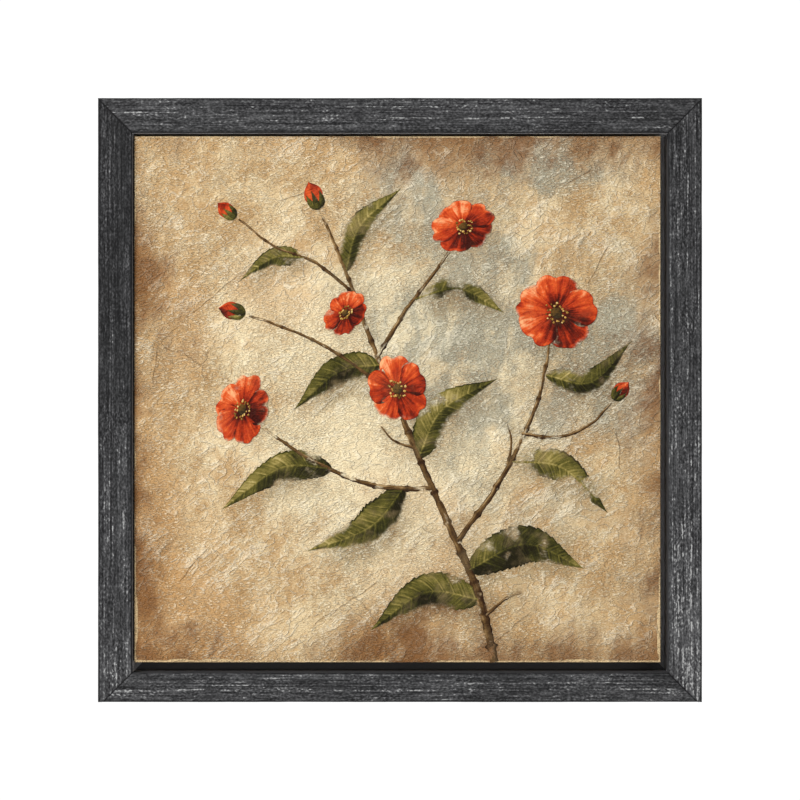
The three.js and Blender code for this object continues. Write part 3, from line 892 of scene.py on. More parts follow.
def cotton_finish(painting):
    """Raw cotton in plain weave: each cell of the weave shows the thread that runs over the other, with
    painted shade where the thread lies low, slubs, and stains where size has soaked through. The folds at
    the mitres show by painted shade in their creases, a painted shadow on the flap folded under and a
    painted highlight on the ridge beyond; the cut edges show paler where they fray."""
    f = Finish("raw_cotton")
    place = f.surface_place()
    turn = math.pi / (THREAD * MM)
    warp, weft = (
        (f.node("ShaderNodeSeparateXYZ", {}, {0: place}, output=axis) * turn).sine() for axis in (0, 1)
    )
    over = (warp * weft).eased(-0.2, 0.2)
    height = over * weft.absolute() + (1 - over) * warp.absolute()
    slub = f.streaks(60, 1500) + f.streaks(1500, 60)
    stain = f.noise(f.place(), 16, 5, 0.6)
    colour = f.mix(stain.eased(0.35, 0.7), painting.cotton, painting.size_stain)
    colour = f.mix((slub - 0.85).eased(0.0, 0.5) * 0.5, colour, painting.highlight)
    # Painted shade where the thread lies low in the weave
    colour = f.mix((0.75 - height).eased(0.0, 0.8) * 0.35, colour, painting.glaze)
    fold = f.layer("fold")
    # Painted shade in each fold's crease, a painted shadow on the flap beneath it, and a painted highlight on
    # the ridge beyond
    crease = (0.7 - fold.absolute()).eased(0.0, 0.6)
    painted_shadow_under_fold = (fold + 5).eased(0, 5) * (0 - fold).eased(0.0, 0.4)
    ridge = (1.2 - (fold - 8).absolute()).eased(0, 1)
    hem = f.layer("hem") + (slub - 1.0) * 2
    # Painted shadow on the under flap, painted highlight on the fold's ridge, pale fraying at the cut edge,
    # painted shade in the crease
    colour = f.mix(painted_shadow_under_fold * 0.35, colour, painting.glaze)
    colour = f.mix(ridge * 0.35, colour, painting.highlight)
    colour = f.mix((1.4 - hem).eased(0.0, 1.0) * 0.5, colour, painting.highlight)
    colour = f.mix(crease * 0.75, colour, painting.brown)
    relief = height + slub * 0.5 + ridge * 1.5 - crease * 2
    normal = f.bumps(relief, 0.00018)
    return f.done({"Base Color": colour, "Roughness": 0.88, "Normal": normal, "Specular IOR Level": 0.15})


# The picture's motifs


def unit(angle):
    """Unit vector at an angle in degrees, anticlockwise from the viewer's right."""
    return np.array([math.cos(math.radians(angle)), math.sin(math.radians(angle))])


def spine(knots, count):
    """A smooth curve through a few points, in each stretch a Catmull-Rom cubic of the four nearest: its
    points, the unit normals to its left, and the length so far."""
    knots = np.array(knots, float)
    padded = np.concatenate([[2 * knots[0] - knots[1]], knots, [2 * knots[-1] - knots[-2]]])
    t = np.linspace(0, len(knots) - 1, count)
    i = np.minimum(t.astype(int), len(knots) - 2)
    f = (t - i)[:, None]
    p, q, r, s = (padded[i + k] for k in range(4))
    points = q + 0.5 * ((r - p) * f + (2 * p - 5 * q + 4 * r - s) * f**2 + (3 * q - 3 * r + s - p) * f**3)
    along = np.gradient(points, axis=0)
    aside = np.stack([-along[:, 1], along[:, 0]], -1) / np.linalg.norm(along, axis=1, keepdims=True)
    steps = np.linalg.norm(np.diff(points, axis=0), axis=1)
    return points, aside, np.concatenate([[0], np.cumsum(steps)])


# Where the light on the painted motifs comes from, and the measures of leaves and blossoms
LIGHT_FROM = unit(130)
VEIN_SPACING = 6.8
VEIN_WIDTH = 0.42
RIB_WIDTH = 0.5
TOOTH_SPACING = 4.2
PETALS = 5
PETAL_SWING = 46
STAMENS = 26

# Scratches in the ground: their middle, slope in degrees and length
SCRATCHES = [
    (-104, 62, 38, 44),
    (-58, 118, 22, 26),
    (116, 78, 64, 30),
    (66, -134, 40, 34),
    (-118, -96, 52, 30),
    (-30, -118, 36, 52),
    (128, -30, 96, 24),
    (-140, 20, 80, 22),
    (104, 128, 30, 24),
]

# The layout of the spray, in millimetres from the canvas's centre
STEMS = [
    {"knots": [(56, -152.2), (45, -108), (17, -44), (-10, 20), (-30, 74), (-44, 108)], "width": (5.0, 1.6)},
    {"knots": [(34, -84), (60, -46), (80, -4), (90, 40)], "width": (3.4, 1.6)},
    {"knots": [(20, -52), (-14, -50), (-52, -34), (-84, -12)], "width": (3.0, 1.4)},
    {"knots": [(-12, 24), (4, 50), (22, 74), (34, 92)], "width": (2.8, 1.4)},
    {"knots": [(-2, 2), (-34, 26), (-62, 40), (-86, 48)], "width": (2.4, 1.2)},
    {"knots": [(72, -20), (94, -22), (112, -14), (124, -2)], "width": (2.0, 1.2)},
    {"knots": [(-24, 60), (-46, 78), (-70, 88), (-92, 104)], "width": (2.0, 1.1)},
    {"knots": [(50, -126), (62, -116), (72, -112)], "width": (2.2, 0.9)},
    {"knots": [(10, -28), (-2, -24), (-10, -16)], "width": (1.8, 0.8)},
    {"knots": [(64, -38), (66, -24), (64, -14)], "width": (1.6, 0.8)},
]
LEAVES = [
    {"knots": [(48, -116), (16, -112), (-16, -134)], "width": 22, "wear": 0.1},
    {"knots": [(41, -99), (74, -84), (108, -98)], "width": 24, "wear": -0.1},
    {"knots": [(4, -51), (-16, -74), (-52, -88)], "width": 23, "wear": 0.15},
    {"knots": [(-38, -40), (-68, -40), (-102, -64)], "width": 19, "wear": -0.1},
    {"knots": [(12, -34), (26, -6), (58, 12)], "width": 20, "wear": 0.05},
    {"knots": [(66, -36), (96, -40), (122, -66)], "width": 19, "wear": 0.2},
    {"knots": [(86, 14), (112, 10), (136, 34)], "width": 17, "wear": 0.35},
    {"knots": [(-10, 20), (-34, 16), (-60, -6)], "width": 19, "wear": -0.05},
    {"knots": [(10, 58), (36, 64), (62, 50)], "width": 16, "wear": 0.25},
    {"knots": [(-30, 74), (-22, 100), (2, 122)], "width": 16, "wear": 0.1},
    {"knots": [(-54, 82), (-72, 82), (-92, 68)], "width": 13, "wear": 0.4},
]
BLOSSOMS = [
    {"at": (92, 50), "radius": 24, "turn": 12, "lean": 75, "flat": 0.9},
    {"at": (38, 100), "radius": 19, "turn": 40, "lean": 110, "flat": 0.78},
    {"at": (-90, -6), "radius": 21, "turn": 5, "lean": 165, "flat": 0.74},
    {"at": (0, 6), "radius": 20, "turn": 28, "lean": 20, "flat": 0.88},
    {"at": (-30, 50), "radius": 15, "turn": 55, "lean": 140, "flat": 0.72},
]
BUDS = [
    {"at": (-46, 112), "along": 112, "length": 15},
    {"at": (-90, 50), "along": 168, "length": 14},
    {"at": (126, 1), "along": 48, "length": 12},
    {"at": (-95, 106), "along": 140, "length": 12},
]


class Film:
    """Thin patches of paint that follow the ground, joined into one piece."""

    def __init__(self, surface):
        self.surface = surface
        self.patches = []

    def add(self, a, b, rise, along, across, tone, cover):
        """A patch: a grid on the picture with, at each point, the height above the ground, the place
        along and across the bristles in millimetres, the tone, and how well the paint covers."""
        grid = np.stack(np.broadcast_arrays(a, b, rise, along, across, tone, cover), -1)
        middle = len(grid) // 2
        side, up = (grid[middle, 1, :2] - grid[middle, 0, :2], grid[middle + 1, 0, :2] - grid[middle, 0, :2])
        turn = side[0] * up[1] - side[1] * up[0]
        self.patches.append(grid if turn > 0 else grid[:, ::-1])

    def piece(self, name, finish, painting):
        """All the patches as one piece, each closed by a rim sunk in the ground and a flat underside."""
        table, quads, caps, start = [], [], [], 0
        for grid in self.patches:
            rows, columns = grid.shape[:2]
            flat = grid.reshape(-1, grid.shape[-1])
            loop = border_loop(rows, columns)
            sunk = flat[loop]
            sunk[:, 2] = -FILM_SINK
            under = len(flat) + np.arange(len(loop))
            table += [flat, sunk]
            quads += [start + grid_quads(rows, columns), start + loop_quads(loop, under)]
            caps.append((start + under[::-1]).tolist())
            start += len(flat) + len(loop)
        a, b, rise, along, across, tone, cover = np.concatenate(table).T
        height = self.surface.at(a, b) + rise
        points = np.stack([a + CANVAS_X, CANVAS_FRONT - height, b + CANVAS_Z], -1)
        layers = ground_layers(a, b, painting) | {"tone": tone, "cover": cover}
        faces = np.concatenate(quads).tolist() + caps
        uv = np.stack([along, across], -1)
        make_piece(name, points, faces, finish, layers, uv, 50)


def paint_stem(film, stem, seed):
    """A stem: a strip along its curve that swells at knots, shaded across like a rod, with lights broken
    off along the lit side."""
    points, aside, along = spine(stem["knots"], 12)
    points, aside, along = spine(stem["knots"], int(along[-1] / 0.7))
    s = along / along[-1]
    t = np.linspace(-1, 1, 11)
    half = np.interp(s, [0, 1], stem["width"]) / 2
    knot = np.exp(-((((along / 19 + 0.37 * seed) % 1 - 0.5) / 0.055) ** 2))
    swell = 0.45 * knot + 0.2 * noise(along / 3.1, 0.5, seed) + 0.12 * noise(along / 1.3, 4.5, seed)
    half = half * (1 + swell) * (1 - 0.5 * ease(s, 0.97, 1))
    sway = 0.5 * noise(along / 11, 8.5, seed + 1) + 0.2 * noise(along / 3, 8.5, seed + 2)
    path = points + aside * sway[:, None]
    place = path[:, None, :] + aside[:, None, :] * (half[:, None] * t)[..., None]
    lit = t * (aside @ LIGHT_FROM)[:, None]
    s, along, half, knot = (v[:, None] for v in (s, along, half, knot))
    streak = noise(along / 5, t * 2.4, seed + 3)
    tone = 0.36 + 0.26 * lit - 0.22 * ease(np.abs(t), 0.6, 1) + 0.14 * streak - 0.2 * knot + 0.16 * s
    broken = ease(noise(along / 4.5, 3.5, seed + 4), -0.2, 0.5)
    tone = tone + 0.3 * np.exp(-(((lit - 0.4) / 0.28) ** 2)) * broken
    worn = layered_noise(along / 10, t * 0.5, seed + 5) + 0.35 * ease(s, 0.6, 1)
    rise = 0.05 + 0.09 * (1 - t**2) + 0.02 * streak
    cover = 1 - 0.75 * ease(worn, 0.25, 0.8)
    film.add(place[..., 0], place[..., 1], rise, along, t * half + 9 * seed, tone, cover)


def paint_leaf(film, leaf, seed, veins=1.0, tone=0.36, lift=0.0):
    """A pointed leaf. Half its width is width / 2 times sin(pi s^0.75)^(0.72 + 0.45 s), with small teeth.
    Side veins leave the midrib at 45 degrees, and bristle marks run along them. Wear eats into it in
    patches."""
    _, _, along = spine(leaf["knots"], 12)
    points, aside, along = spine(leaf["knots"], int(along[-1] / 0.5))
    width = leaf["width"]
    t = np.linspace(-1, 1, 2 * int(width / 1.0) + 1)
    s = np.linspace(0.001, 0.999, len(along))[:, None]
    half = width / 2 * np.sin(np.pi * s**0.75) ** (0.72 + 0.45 * s)
    tooth = veins * 0.1 * ((s * along[-1] / TOOTH_SPACING + 0.2 * noise(s * 9, np.sign(t), seed)) % 1)
    margin = 1 + 0.1 * noise(s * 5, 2 * np.sign(t) + 0.5, seed + 1) - tooth * ease(np.abs(t), 0.5, 1)
    place = points[:, None, :] + aside[:, None, :] * (half * t * margin)[..., None]
    a, b = place[..., 0], place[..., 1]

    out = np.abs(t) * half
    ahead = s * along[-1] - 0.8 * out
    off_vein = np.abs((ahead / VEIN_SPACING) % 1 - 0.5) * VEIN_SPACING
    fading = ease(np.abs(t), 0.0, 0.08) * (1 - ease(np.abs(t), 0.6, 0.95))
    vein = veins * np.exp(-((off_vein / VEIN_WIDTH) ** 2)) * fading
    beside = veins * np.exp(-(((off_vein - 1.1) / 0.6) ** 2)) * (1 - np.abs(t))
    rib = np.exp(-((t * half / RIB_WIDTH) ** 2)) * (1 - 0.6 * s) * veins
    streak = noise(out / 4.5, ahead / 0.8, seed + 2) + 0.6 * noise(out / 7, ahead / 2.2, seed + 3)
    lit = np.sign(t) * (aside @ LIGHT_FROM)[:, None] * ease(np.abs(t), 0, 0.2)
    shade = tone + 0.16 * lit + 0.36 * layered_noise(a / 17, b / 17, seed + 4) + 0.08 * streak
    shade = shade + 0.22 * vein - 0.12 * beside + 0.36 * rib - 0.12 * ease(np.abs(t), 0.84, 1)
    shade = shade - 0.16 * (1 - ease(s, 0, 0.2)) + 0.1 * np.cos(s * 5 + seed)
    worn = layered_noise(a / 17, b / 17, seed + 5, 5) + leaf.get("wear", -0.5)
    worn = worn + 0.3 * np.abs(t) * s - 0.5 * rib
    away = -np.sign(t) * (aside @ LIGHT_FROM)[:, None]
    lost = ease(noise(s * 2.6, 3 * np.sign(t), seed + 6) + leaf.get("wear", -0.9) + 0.5 * away, -0.2, 0.6)
    feather = lost * ease(np.abs(t), 0.35, 1)
    broken = ease(noise(s * 6, np.sign(t), seed + 7) - 0.3 * away, -0.1, 0.4)
    line = np.exp(-(((np.abs(t) - 0.95) / 0.07) ** 2)) * broken
    shade = shade - 0.35 * line * veins
    rise = 0.06 + lift + 0.05 * vein + 0.07 * rib + 0.03 * streak
    uv = 0.75 * out + 0.5 * s * along[-1], ahead + 50 * seed
    film.add(a, b, rise, *uv, shade, 1 - 0.75 * ease(worn, 0.2, 1.0) - 0.8 * feather)


def paint_petal(film, blossom, angle, lift, seed):
    """A petal: the reach is radius times (1 - 0.34 |p|^3.2), notched in the middle, and the angle swings by
    46 degrees to both sides. Bristle marks run out from the throat, which is dark; one side is turned
    to the light, and the rim is thick and pale."""
    size, axis = blossom["radius"], unit(blossom["lean"])
    squeeze = np.eye(2) - (1 - blossom["flat"]) * np.outer(axis, axis)
    r = np.linspace(0.04, 1, int(size / 0.5))[:, None]
    p = np.linspace(-1, 1, 2 * int(size / 0.95) + 1)
    notch = 0.08 * np.exp(-(((p - 0.1) / 0.16) ** 2))
    reach = 1 - 0.34 * np.abs(p) ** 3.2 - notch + 0.07 * noise(p * 2.4, 0.5, seed)
    swing = np.radians(angle + p * PETAL_SWING * (0.8 + 0.2 * r**0.6))
    flat = np.stack([np.cos(swing), np.sin(swing)], -1) * (r * reach * size)[..., None]
    place = flat @ squeeze.T + blossom["at"]
    a, b = place[..., 0], place[..., 1]

    facing, tilt = unit(angle) @ LIGHT_FROM, unit(angle + 90) @ LIGHT_FROM
    streak = noise(p * 7 + seed, r * 1.8, seed + 1) + 0.7 * noise(p * 16, r * 2.6, seed + 2)
    fold = np.exp(-(((p - 0.25 * noise(r * 1.7, seed, seed + 3)) / 0.07) ** 2)) * (1 - r)
    tone = 0.42 + 0.2 * facing + 0.34 * tilt * p * r + 0.15 * streak - 0.4 * np.exp(-((r / 0.36) ** 2))
    tone = tone + 0.12 * lattice(int(angle), 7, seed)
    light = 0.5 + 0.5 * noise(p * 2, r * 2, seed + 4)
    tone = tone - 0.2 * fold + 0.24 * np.exp(-(((r - 0.7) / 0.17) ** 2)) * light * (0.6 + 0.4 * facing)
    tone = tone + 0.26 * ease(r, 0.86, 0.95) * ease(noise(p * 4, 2.5, seed + 5), -0.3, 0.4)
    tone = tone - 0.45 * ease(np.abs(p), 0.7, 1) * r - 0.2 * ease(r, 0.975, 1)
    tone = tone + 0.2 * layered_noise(a / 9, b / 9, seed + 6)
    worn = layered_noise(a / 13, b / 13, seed + 7, 5) + 0.25 * r
    rise = lift + 0.12 * np.sin(np.pi * r) * (1 - p**2) + 0.03 * streak + 0.06 * ease(r, 0.8, 0.95)
    feather = 0.5 * ease(r, 0.86, 1) * ease(noise(p * 1.7, seed, seed + 8), 0, 0.6)
    uv = r * size, p * size * (0.25 + 0.5 * r) + 50 * seed
    film.add(a, b, rise, *uv, tone, 1 - 0.4 * ease(worn, 0.6, 1.2) - feather)


def paint_disc(film, at, radius, squeeze, lift, tone, seed, cells=5):
    """A small round dab, a square grid bent into a disc, domed and lit from the upper left."""
    v, u = np.meshgrid(np.linspace(-1, 1, cells), np.linspace(-1, 1, cells), indexing="ij")
    flat = np.stack([u * np.sqrt(1 - v**2 / 2), v * np.sqrt(1 - u**2 / 2)], -1)
    reach = np.linalg.norm(flat, axis=-1)
    place = (flat * radius * (1 + 0.12 * noise(u * 2, v * 2 + seed, seed))[..., None]) @ squeeze.T + at
    lit = flat @ LIGHT_FROM
    shade = tone + 0.14 * lit - 0.1 * reach**2 + 0.12 * noise(u * 4 + seed, v * 4, seed)
    rise = lift + 0.5 * min(radius, 0.5) * (1 - reach**2)
    film.add(place[..., 0], place[..., 1], rise, place[..., 0], place[..., 1], shade, np.ones_like(reach))


def paint_blossom(petals, centres, blossom, seed):
    """Five overlapping petals round an eye of dark green, ringed by ochre stamens."""
    random = np.random.default_rng(seed)
    for layer, petal in enumerate(random.permutation(PETALS)):
        angle = blossom["turn"] + 360 / PETALS * petal + random.normal(0, 4)
        paint_petal(petals, blossom, angle, 0.1 + 0.05 * layer, seed * 7 + layer)
    size, axis = blossom["radius"], unit(blossom["lean"])
    squeeze = np.eye(2) - (1 - blossom["flat"]) * np.outer(axis, axis)
    paint_disc(centres, blossom["at"], size * 0.15, squeeze, 0.42, 0.14, seed, 15)
    for i, turn in enumerate(random.uniform(0, 20, STAMENS) + np.linspace(0, 360, STAMENS)):
        at = squeeze @ unit(turn) * size * random.uniform(0.15, 0.31) + blossom["at"]
        tone = random.uniform(0.35, 0.95)
        paint_disc(centres, at, random.uniform(0.45, 0.8), squeeze, 0.44, tone, seed + i)


def paint_bud(petals, leaves, bud, seed):
    """A bud: three rolled petals, held by three sepals."""
    at, out = np.array(bud["at"], float), unit(bud["along"])
    aside, length = np.array([-out[1], out[0]]), bud["length"]
    for i, side in enumerate((-1, 1, 0)):
        knots = [at, at + out * length * 0.5 + aside * side * length * 0.13, at + out * length]
        petal = {"knots": knots, "width": length * 0.5}
        tone = 0.34 + 0.1 * side * (aside @ LIGHT_FROM) + 0.08 * (i == 2)
        paint_leaf(petals, petal, seed + i, 0.0, tone, 0.05 * i)
    for i, side in enumerate((-1, 1, 0.1)):
        tip = at + out * length * (0.66 - 0.1 * abs(side)) + aside * side * length * 0.28
        knots = [at - out * length * 0.14, at + out * length * 0.16 + aside * side * length * 0.22, tip]
        paint_leaf(leaves, {"knots": knots, "width": length * 0.24}, seed + 5 + i, 0.0, 0.38, 0.2 + 0.03 * i)


def paint_finish(name, stops, dusty, painting):
    """Brushed oil paint: the film's own tone on a ramp of colours, streaked by bristles and dusty in places,
    with the ground's relief softly through it, and worn back to the ground where it covers thinly."""
    f = Finish(name)
    ground, relief, height, mottle = ground_paint(f, painting)
    bristle = f.streaks(80, 1000, 2, 0.6)
    dust = f.noise(f.place(), 75, 4, 0.6)
    tone = f.layer("tone") + (bristle - 0.5) * 0.4 + (mottle - 0.5) * 0.45 + (height - 0.5) * 0.14
    thin = f.layer("cover") + (mottle - 0.5) * 0.7 + (dust - 0.5) * 0.7 + (bristle - 0.5) * 0.2
    cover = (thin - (height - 0.5) * 0.12).eased(0.1, 0.85)
    paint = f.mix(dust.eased(0.5, 0.75) * dusty, f.ramp(tone, stops), painting.shade)
    colour = f.mix(cover, ground, paint)
    relief = (relief - 0.5) * (1 - cover * 0.68)
    return f.done(
        {
            "Base Color": colour,
            "Roughness": 0.6 - height * 0.1,
            "Normal": f.bumps(relief + bristle * 0.3, painting.bump * MM),
            "Specular IOR Level": 0.1,
        }
    )


# Stretcher bars and fittings


def pine_finish(name, axis):
    """Planed softwood with its grain along one axis: growth lines, fine fibres, a few knots that bend the
    lines, and a bloom of dirt."""
    f = Finish(name)

    def grain(along, across):
        return [along if i == axis else across for i in range(3)]

    knot = f.cells(f.place(grain(7, 30), (0.3, 0.5, 0.1)), 1.0)
    near = 1 - knot.eased(0.03, 0.3)
    lines = f.noise(f.place(grain(4, 60)), 1.0, 2, 0.5, 0.4)
    fibres = f.noise(f.place(grain(60, 1400)), 1.0, 3, 0.6)
    bands = ((lines + near * 0.25) * 15).fraction()
    bands = bands.eased(0.2, 0.92) * (1 - bands.eased(0.92, 1.0))
    dirt = f.noise(f.place(), 22, 5, 0.6)
    colour = f.mix(bands.eased(0.2, 1.0) * 0.7, PINE_EARLY, PINE_LATE)
    colour = f.mix((fibres - 0.35) * 0.5, colour, PINE_FIBRE)
    colour = f.mix((0.48 - fibres).eased(0.0, 0.16) * 0.35, colour, PINE_PORE)
    colour = f.mix((1 - knot.eased(0.02, 0.09)) * 0.85, colour, PINE_KNOT)
    colour = f.mix(dirt.eased(0.5, 0.85) * 0.4, colour, PINE_DIRT)
    relief = bands * 0.4 + fibres * 0.6
    normal = f.bumps(relief, 0.00022)
    return f.done({"Base Color": colour, "Roughness": 0.66 + fibres * 0.15, "Normal": normal})


def metal_finish(name, clean, dull, rust):
    """Plated steel: patches of clean and dull plating, fine scratches, and rust specks at their worst
    where the plating is dull."""
    f = Finish(name)
    patches = f.noise(f.place(), 160, 5, 0.6)
    scratch = f.noise(f.place((300, 4000, 2500), turn=(0.3, 0.5, 0.2)), 1.0, 2)
    specks = f.noise(f.place(), 900, 3)
    colour = f.mix(patches.eased(0.4, 0.8), clean, dull)
    worn = (specks * patches).eased(0.34, 0.42)
    colour = f.mix(worn * 0.8, colour, rust)
    roughness = 0.3 + patches * 0.25 + worn * 0.3
    return f.done(
        {
            "Base Color": colour,
            "Metallic": PLATING_METALLIC - worn * 0.6,
            "Roughness": roughness,
            "Normal": f.bumps(scratch + specks, 0.00006),
        }
    )


def rubber_finish():
    """Soft black rubber with moulding grain and pale dust."""
    f = Finish("black_rubber")
    grain = f.noise(f.place(), 2400, 2)
    dust = f.noise(f.place(), 480, 4, 0.65)
    colour = f.mix(dust.eased(0.5, 0.8) * 0.35, RUBBER, RUBBER_DUST)
    return f.done({"Base Color": colour, "Roughness": 0.75 + dust * 0.15, "Normal": f.bumps(grain, 0.0001)})


# Sizes and colours that a user would change


def colour_property(name, description, red, green, blue):
    colour = srgb(red, green, blue)
    return bpy.props.FloatVectorProperty(
        name=name, description=description, subtype="COLOR", size=3, min=0, max=1, default=colour
    )


class RailSettings(bpy.types.PropertyGroup):
    """The frame's rails: how fine, how deeply brushed and how dark they are."""

    step: bpy.props.FloatProperty(
        name="Step", description="Spacing of points across a face, in millimetres", default=0.55, min=0.2
    )
    rows: bpy.props.IntProperty(
        name="Rows", description="Rows of points along each rail", default=240, min=10, max=600
    )
    relief: bpy.props.FloatProperty(
        name="Relief", description="Height of the brushed grain, in millimetres", default=0.09, min=0, max=0.5
    )
    contrast: bpy.props.FloatProperty(
        name="Contrast", description="How far the streaks stand out", default=1.0, min=0, max=3
    )
    gap_colour: colour_property("Gap", "The smooth black paint at the mouth of the float gap", 62, 62, 64)
    # Painted light: the gap is painted paler towards its bottom, standing in for light that reaches it
    deep_gap_painted_light: colour_property("Ledge", "The thinner paint at the bottom of the gap", 203, 203, 206)

    # Greys from the darkest pore to the palest wash
    greys = [
        (0.0, srgb(18, 18, 19)),
        (0.25, srgb(34, 34, 35)),
        (0.5, srgb(55, 55, 56)),
        (0.75, srgb(83, 83, 84)),
        (0.9, srgb(113, 113, 113)),
        (1.0, srgb(160, 160, 159)),
    ]
    # Grey at both ends and the middle of each rail; how strongly painted light makes its float gap paler with
    # depth, and from which depth on
    tones = [(0.48, 0.48, 0.46), (0.23, 0.32, 0.57), (0.42, 0.49, 0.5), (0.69, 0.52, 0.42)]
    gap_tones = [0.25, 1.0, 1.0, 0.8]
    gap_starts = [7, 0, 0, 6]
    # How far in from the gap the painted shade on each face reaches
    shaded = [0.5, 0.8, 1.2, 0.5]
    # Long pale lines on each rail: inset from the outer edge, from, to, strength
    veins = [
        [(7.0, -170, 170, 0.5), (12.4, -60, 120, 0.4)],
        [(9.0, 60, 170, 0.4), (13.5, -30, 90, 0.4)],
        [(12.0, -170, 0, 0.5), (5.0, -40, 140, 0.4)],
        [(6.0, -175, -40, 1.0), (11.2, -175, -60, 1.0), (13.8, -160, -90, 0.7), (8.5, 0, 170, 0.5)],
    ]


class PaintingSettings(bpy.types.PropertyGroup):
    """The painted ground and the picture's colours."""

    grid: bpy.props.IntProperty(
        name="Grid", description="Cells along a side of the painted ground", default=290, min=20, max=300
    )
    side_wrap: bpy.props.FloatProperty(
        name="Side wrap", description="How far the paint runs back, in millimetres", default=15.0, min=12
    )
    bump: bpy.props.FloatProperty(
        name="Fine relief", description="Height of the ground's fine relief, in millimetres", default=1.5
    )
    seed: bpy.props.IntProperty(name="Seed", description="Picks the ground's patches", default=411)
    cream: colour_property("Cream", "The lightest part of the ground", 236, 218, 178)
    sand: colour_property("Sand", "The ground's common colour", 215, 190, 147)
    tan: colour_property("Tan", "The ground where it is thinner", 189, 155, 109)
    ochre: colour_property("Ochre", "Warm glaze", 192, 146, 93)
    grey_blue: colour_property("Grey-blue", "Cool scumble", 158, 154, 134)
    brown: colour_property("Brown", "Edges, pits and cracks", 116, 74, 38)
    # Painted highlight: the pale strip along the canvas's edges stands in for light catching them
    rim: colour_property("Rim", "The bare warm strip at the canvas's edges", 234, 208, 160)
    shade: colour_property("Shade", "Thin shade round the motifs", 134, 114, 80)
    # Also painted shade: in the weave's hollows, under the cloth's folds and in the ground's hollows
    glaze: colour_property("Glaze", "Thin brown that lies in the hollows", 146, 104, 58)
    # Also painted highlight: on the ground's ridges and on the ridge beside each fold of the cloth
    highlight: colour_property("Highlight", "Dry light paint on the ridges", 252, 242, 216)
    cotton: colour_property("Cotton", "The raw cloth", 214, 199, 168)
    size_stain: colour_property("Size stain", "The cloth where size has soaked through", 190, 168, 128)

    bark = [
        (0.0, srgb(30, 14, 5)),
        (0.3, srgb(62, 40, 18)),
        (0.6, srgb(108, 80, 44)),
        (1.0, srgb(182, 152, 106)),
    ]
    green = [
        (0.0, srgb(28, 24, 6)),
        (0.25, srgb(50, 48, 15)),
        (0.5, srgb(88, 82, 32)),
        (0.75, srgb(136, 122, 62)),
        (1.0, srgb(188, 168, 108)),
    ]
    red = [
        (0.0, srgb(58, 12, 4)),
        (0.22, srgb(116, 28, 9)),
        (0.45, srgb(176, 52, 18)),
        (0.72, srgb(218, 90, 38)),
        (1.0, srgb(244, 170, 118)),
    ]
    gold = [
        (0.0, srgb(44, 32, 14)),
        (0.4, srgb(116, 82, 32)),
        (0.7, srgb(190, 144, 66)),
        (1.0, srgb(230, 200, 130)),
    ]


class StageSettings(bpy.types.PropertyGroup):
    """Camera, lights and floor."""

    lens: bpy.props.FloatProperty(name="Lens", description="Focal length", default=120.0, unit="CAMERA")
    view_width: bpy.props.FloatProperty(
        name="View width", description="Width of the view at the frame", default=0.46243, unit="LENGTH"
    )
    floor_drop: bpy.props.FloatProperty(
        name="Floor drop", description="Depth of the floor below the centre", default=1.15, unit="LENGTH"
    )
    floor_reach: bpy.props.FloatProperty(
        name="Floor reach", description="Radius of the floor", default=4.6, unit="LENGTH"
    )
    key: bpy.props.FloatProperty(
        name="Key light", description="Power of the light at the upper left", default=83.0, unit="POWER"
    )
    fill: bpy.props.FloatProperty(
        name="Fill light", description="Power of the light at the right", default=6.8, unit="POWER"
    )
    side: bpy.props.FloatProperty(
        name="Side light", description="Power of the light beside the right rail", default=34.0, unit="POWER"
    )
    rear: bpy.props.FloatProperty(
        name="Rear light", description="Power of the light behind the picture", default=60.0, unit="POWER"
    )
    sky: bpy.props.FloatProperty(name="Sky", description="Strength of the white surroundings", default=0.25)


# The steps


class PictureStep(bpy.types.Operator):
    """Base of the steps that build the picture"""

    bl_options = {"REGISTER", "UNDO"}


# Each light's place from the middle of the frame's face and its side, in metres
LIGHTS = {
    "key": ((-1.55, -1.75, 1.5), 1.1),
    "fill": ((1.9, -1.9, -0.1), 1.6),
    "side": ((2.2, 0.7, 0.4), 1.2),
    "rear": ((-1.2, 2.2, 1.3), 1.6),
}
FLOOR_CORNERS = 96

# Width of the camera's sensor in millimetres, and how bright the surroundings look to it
SENSOR_WIDTH = 36.0
SKY_SEEN = 1.05


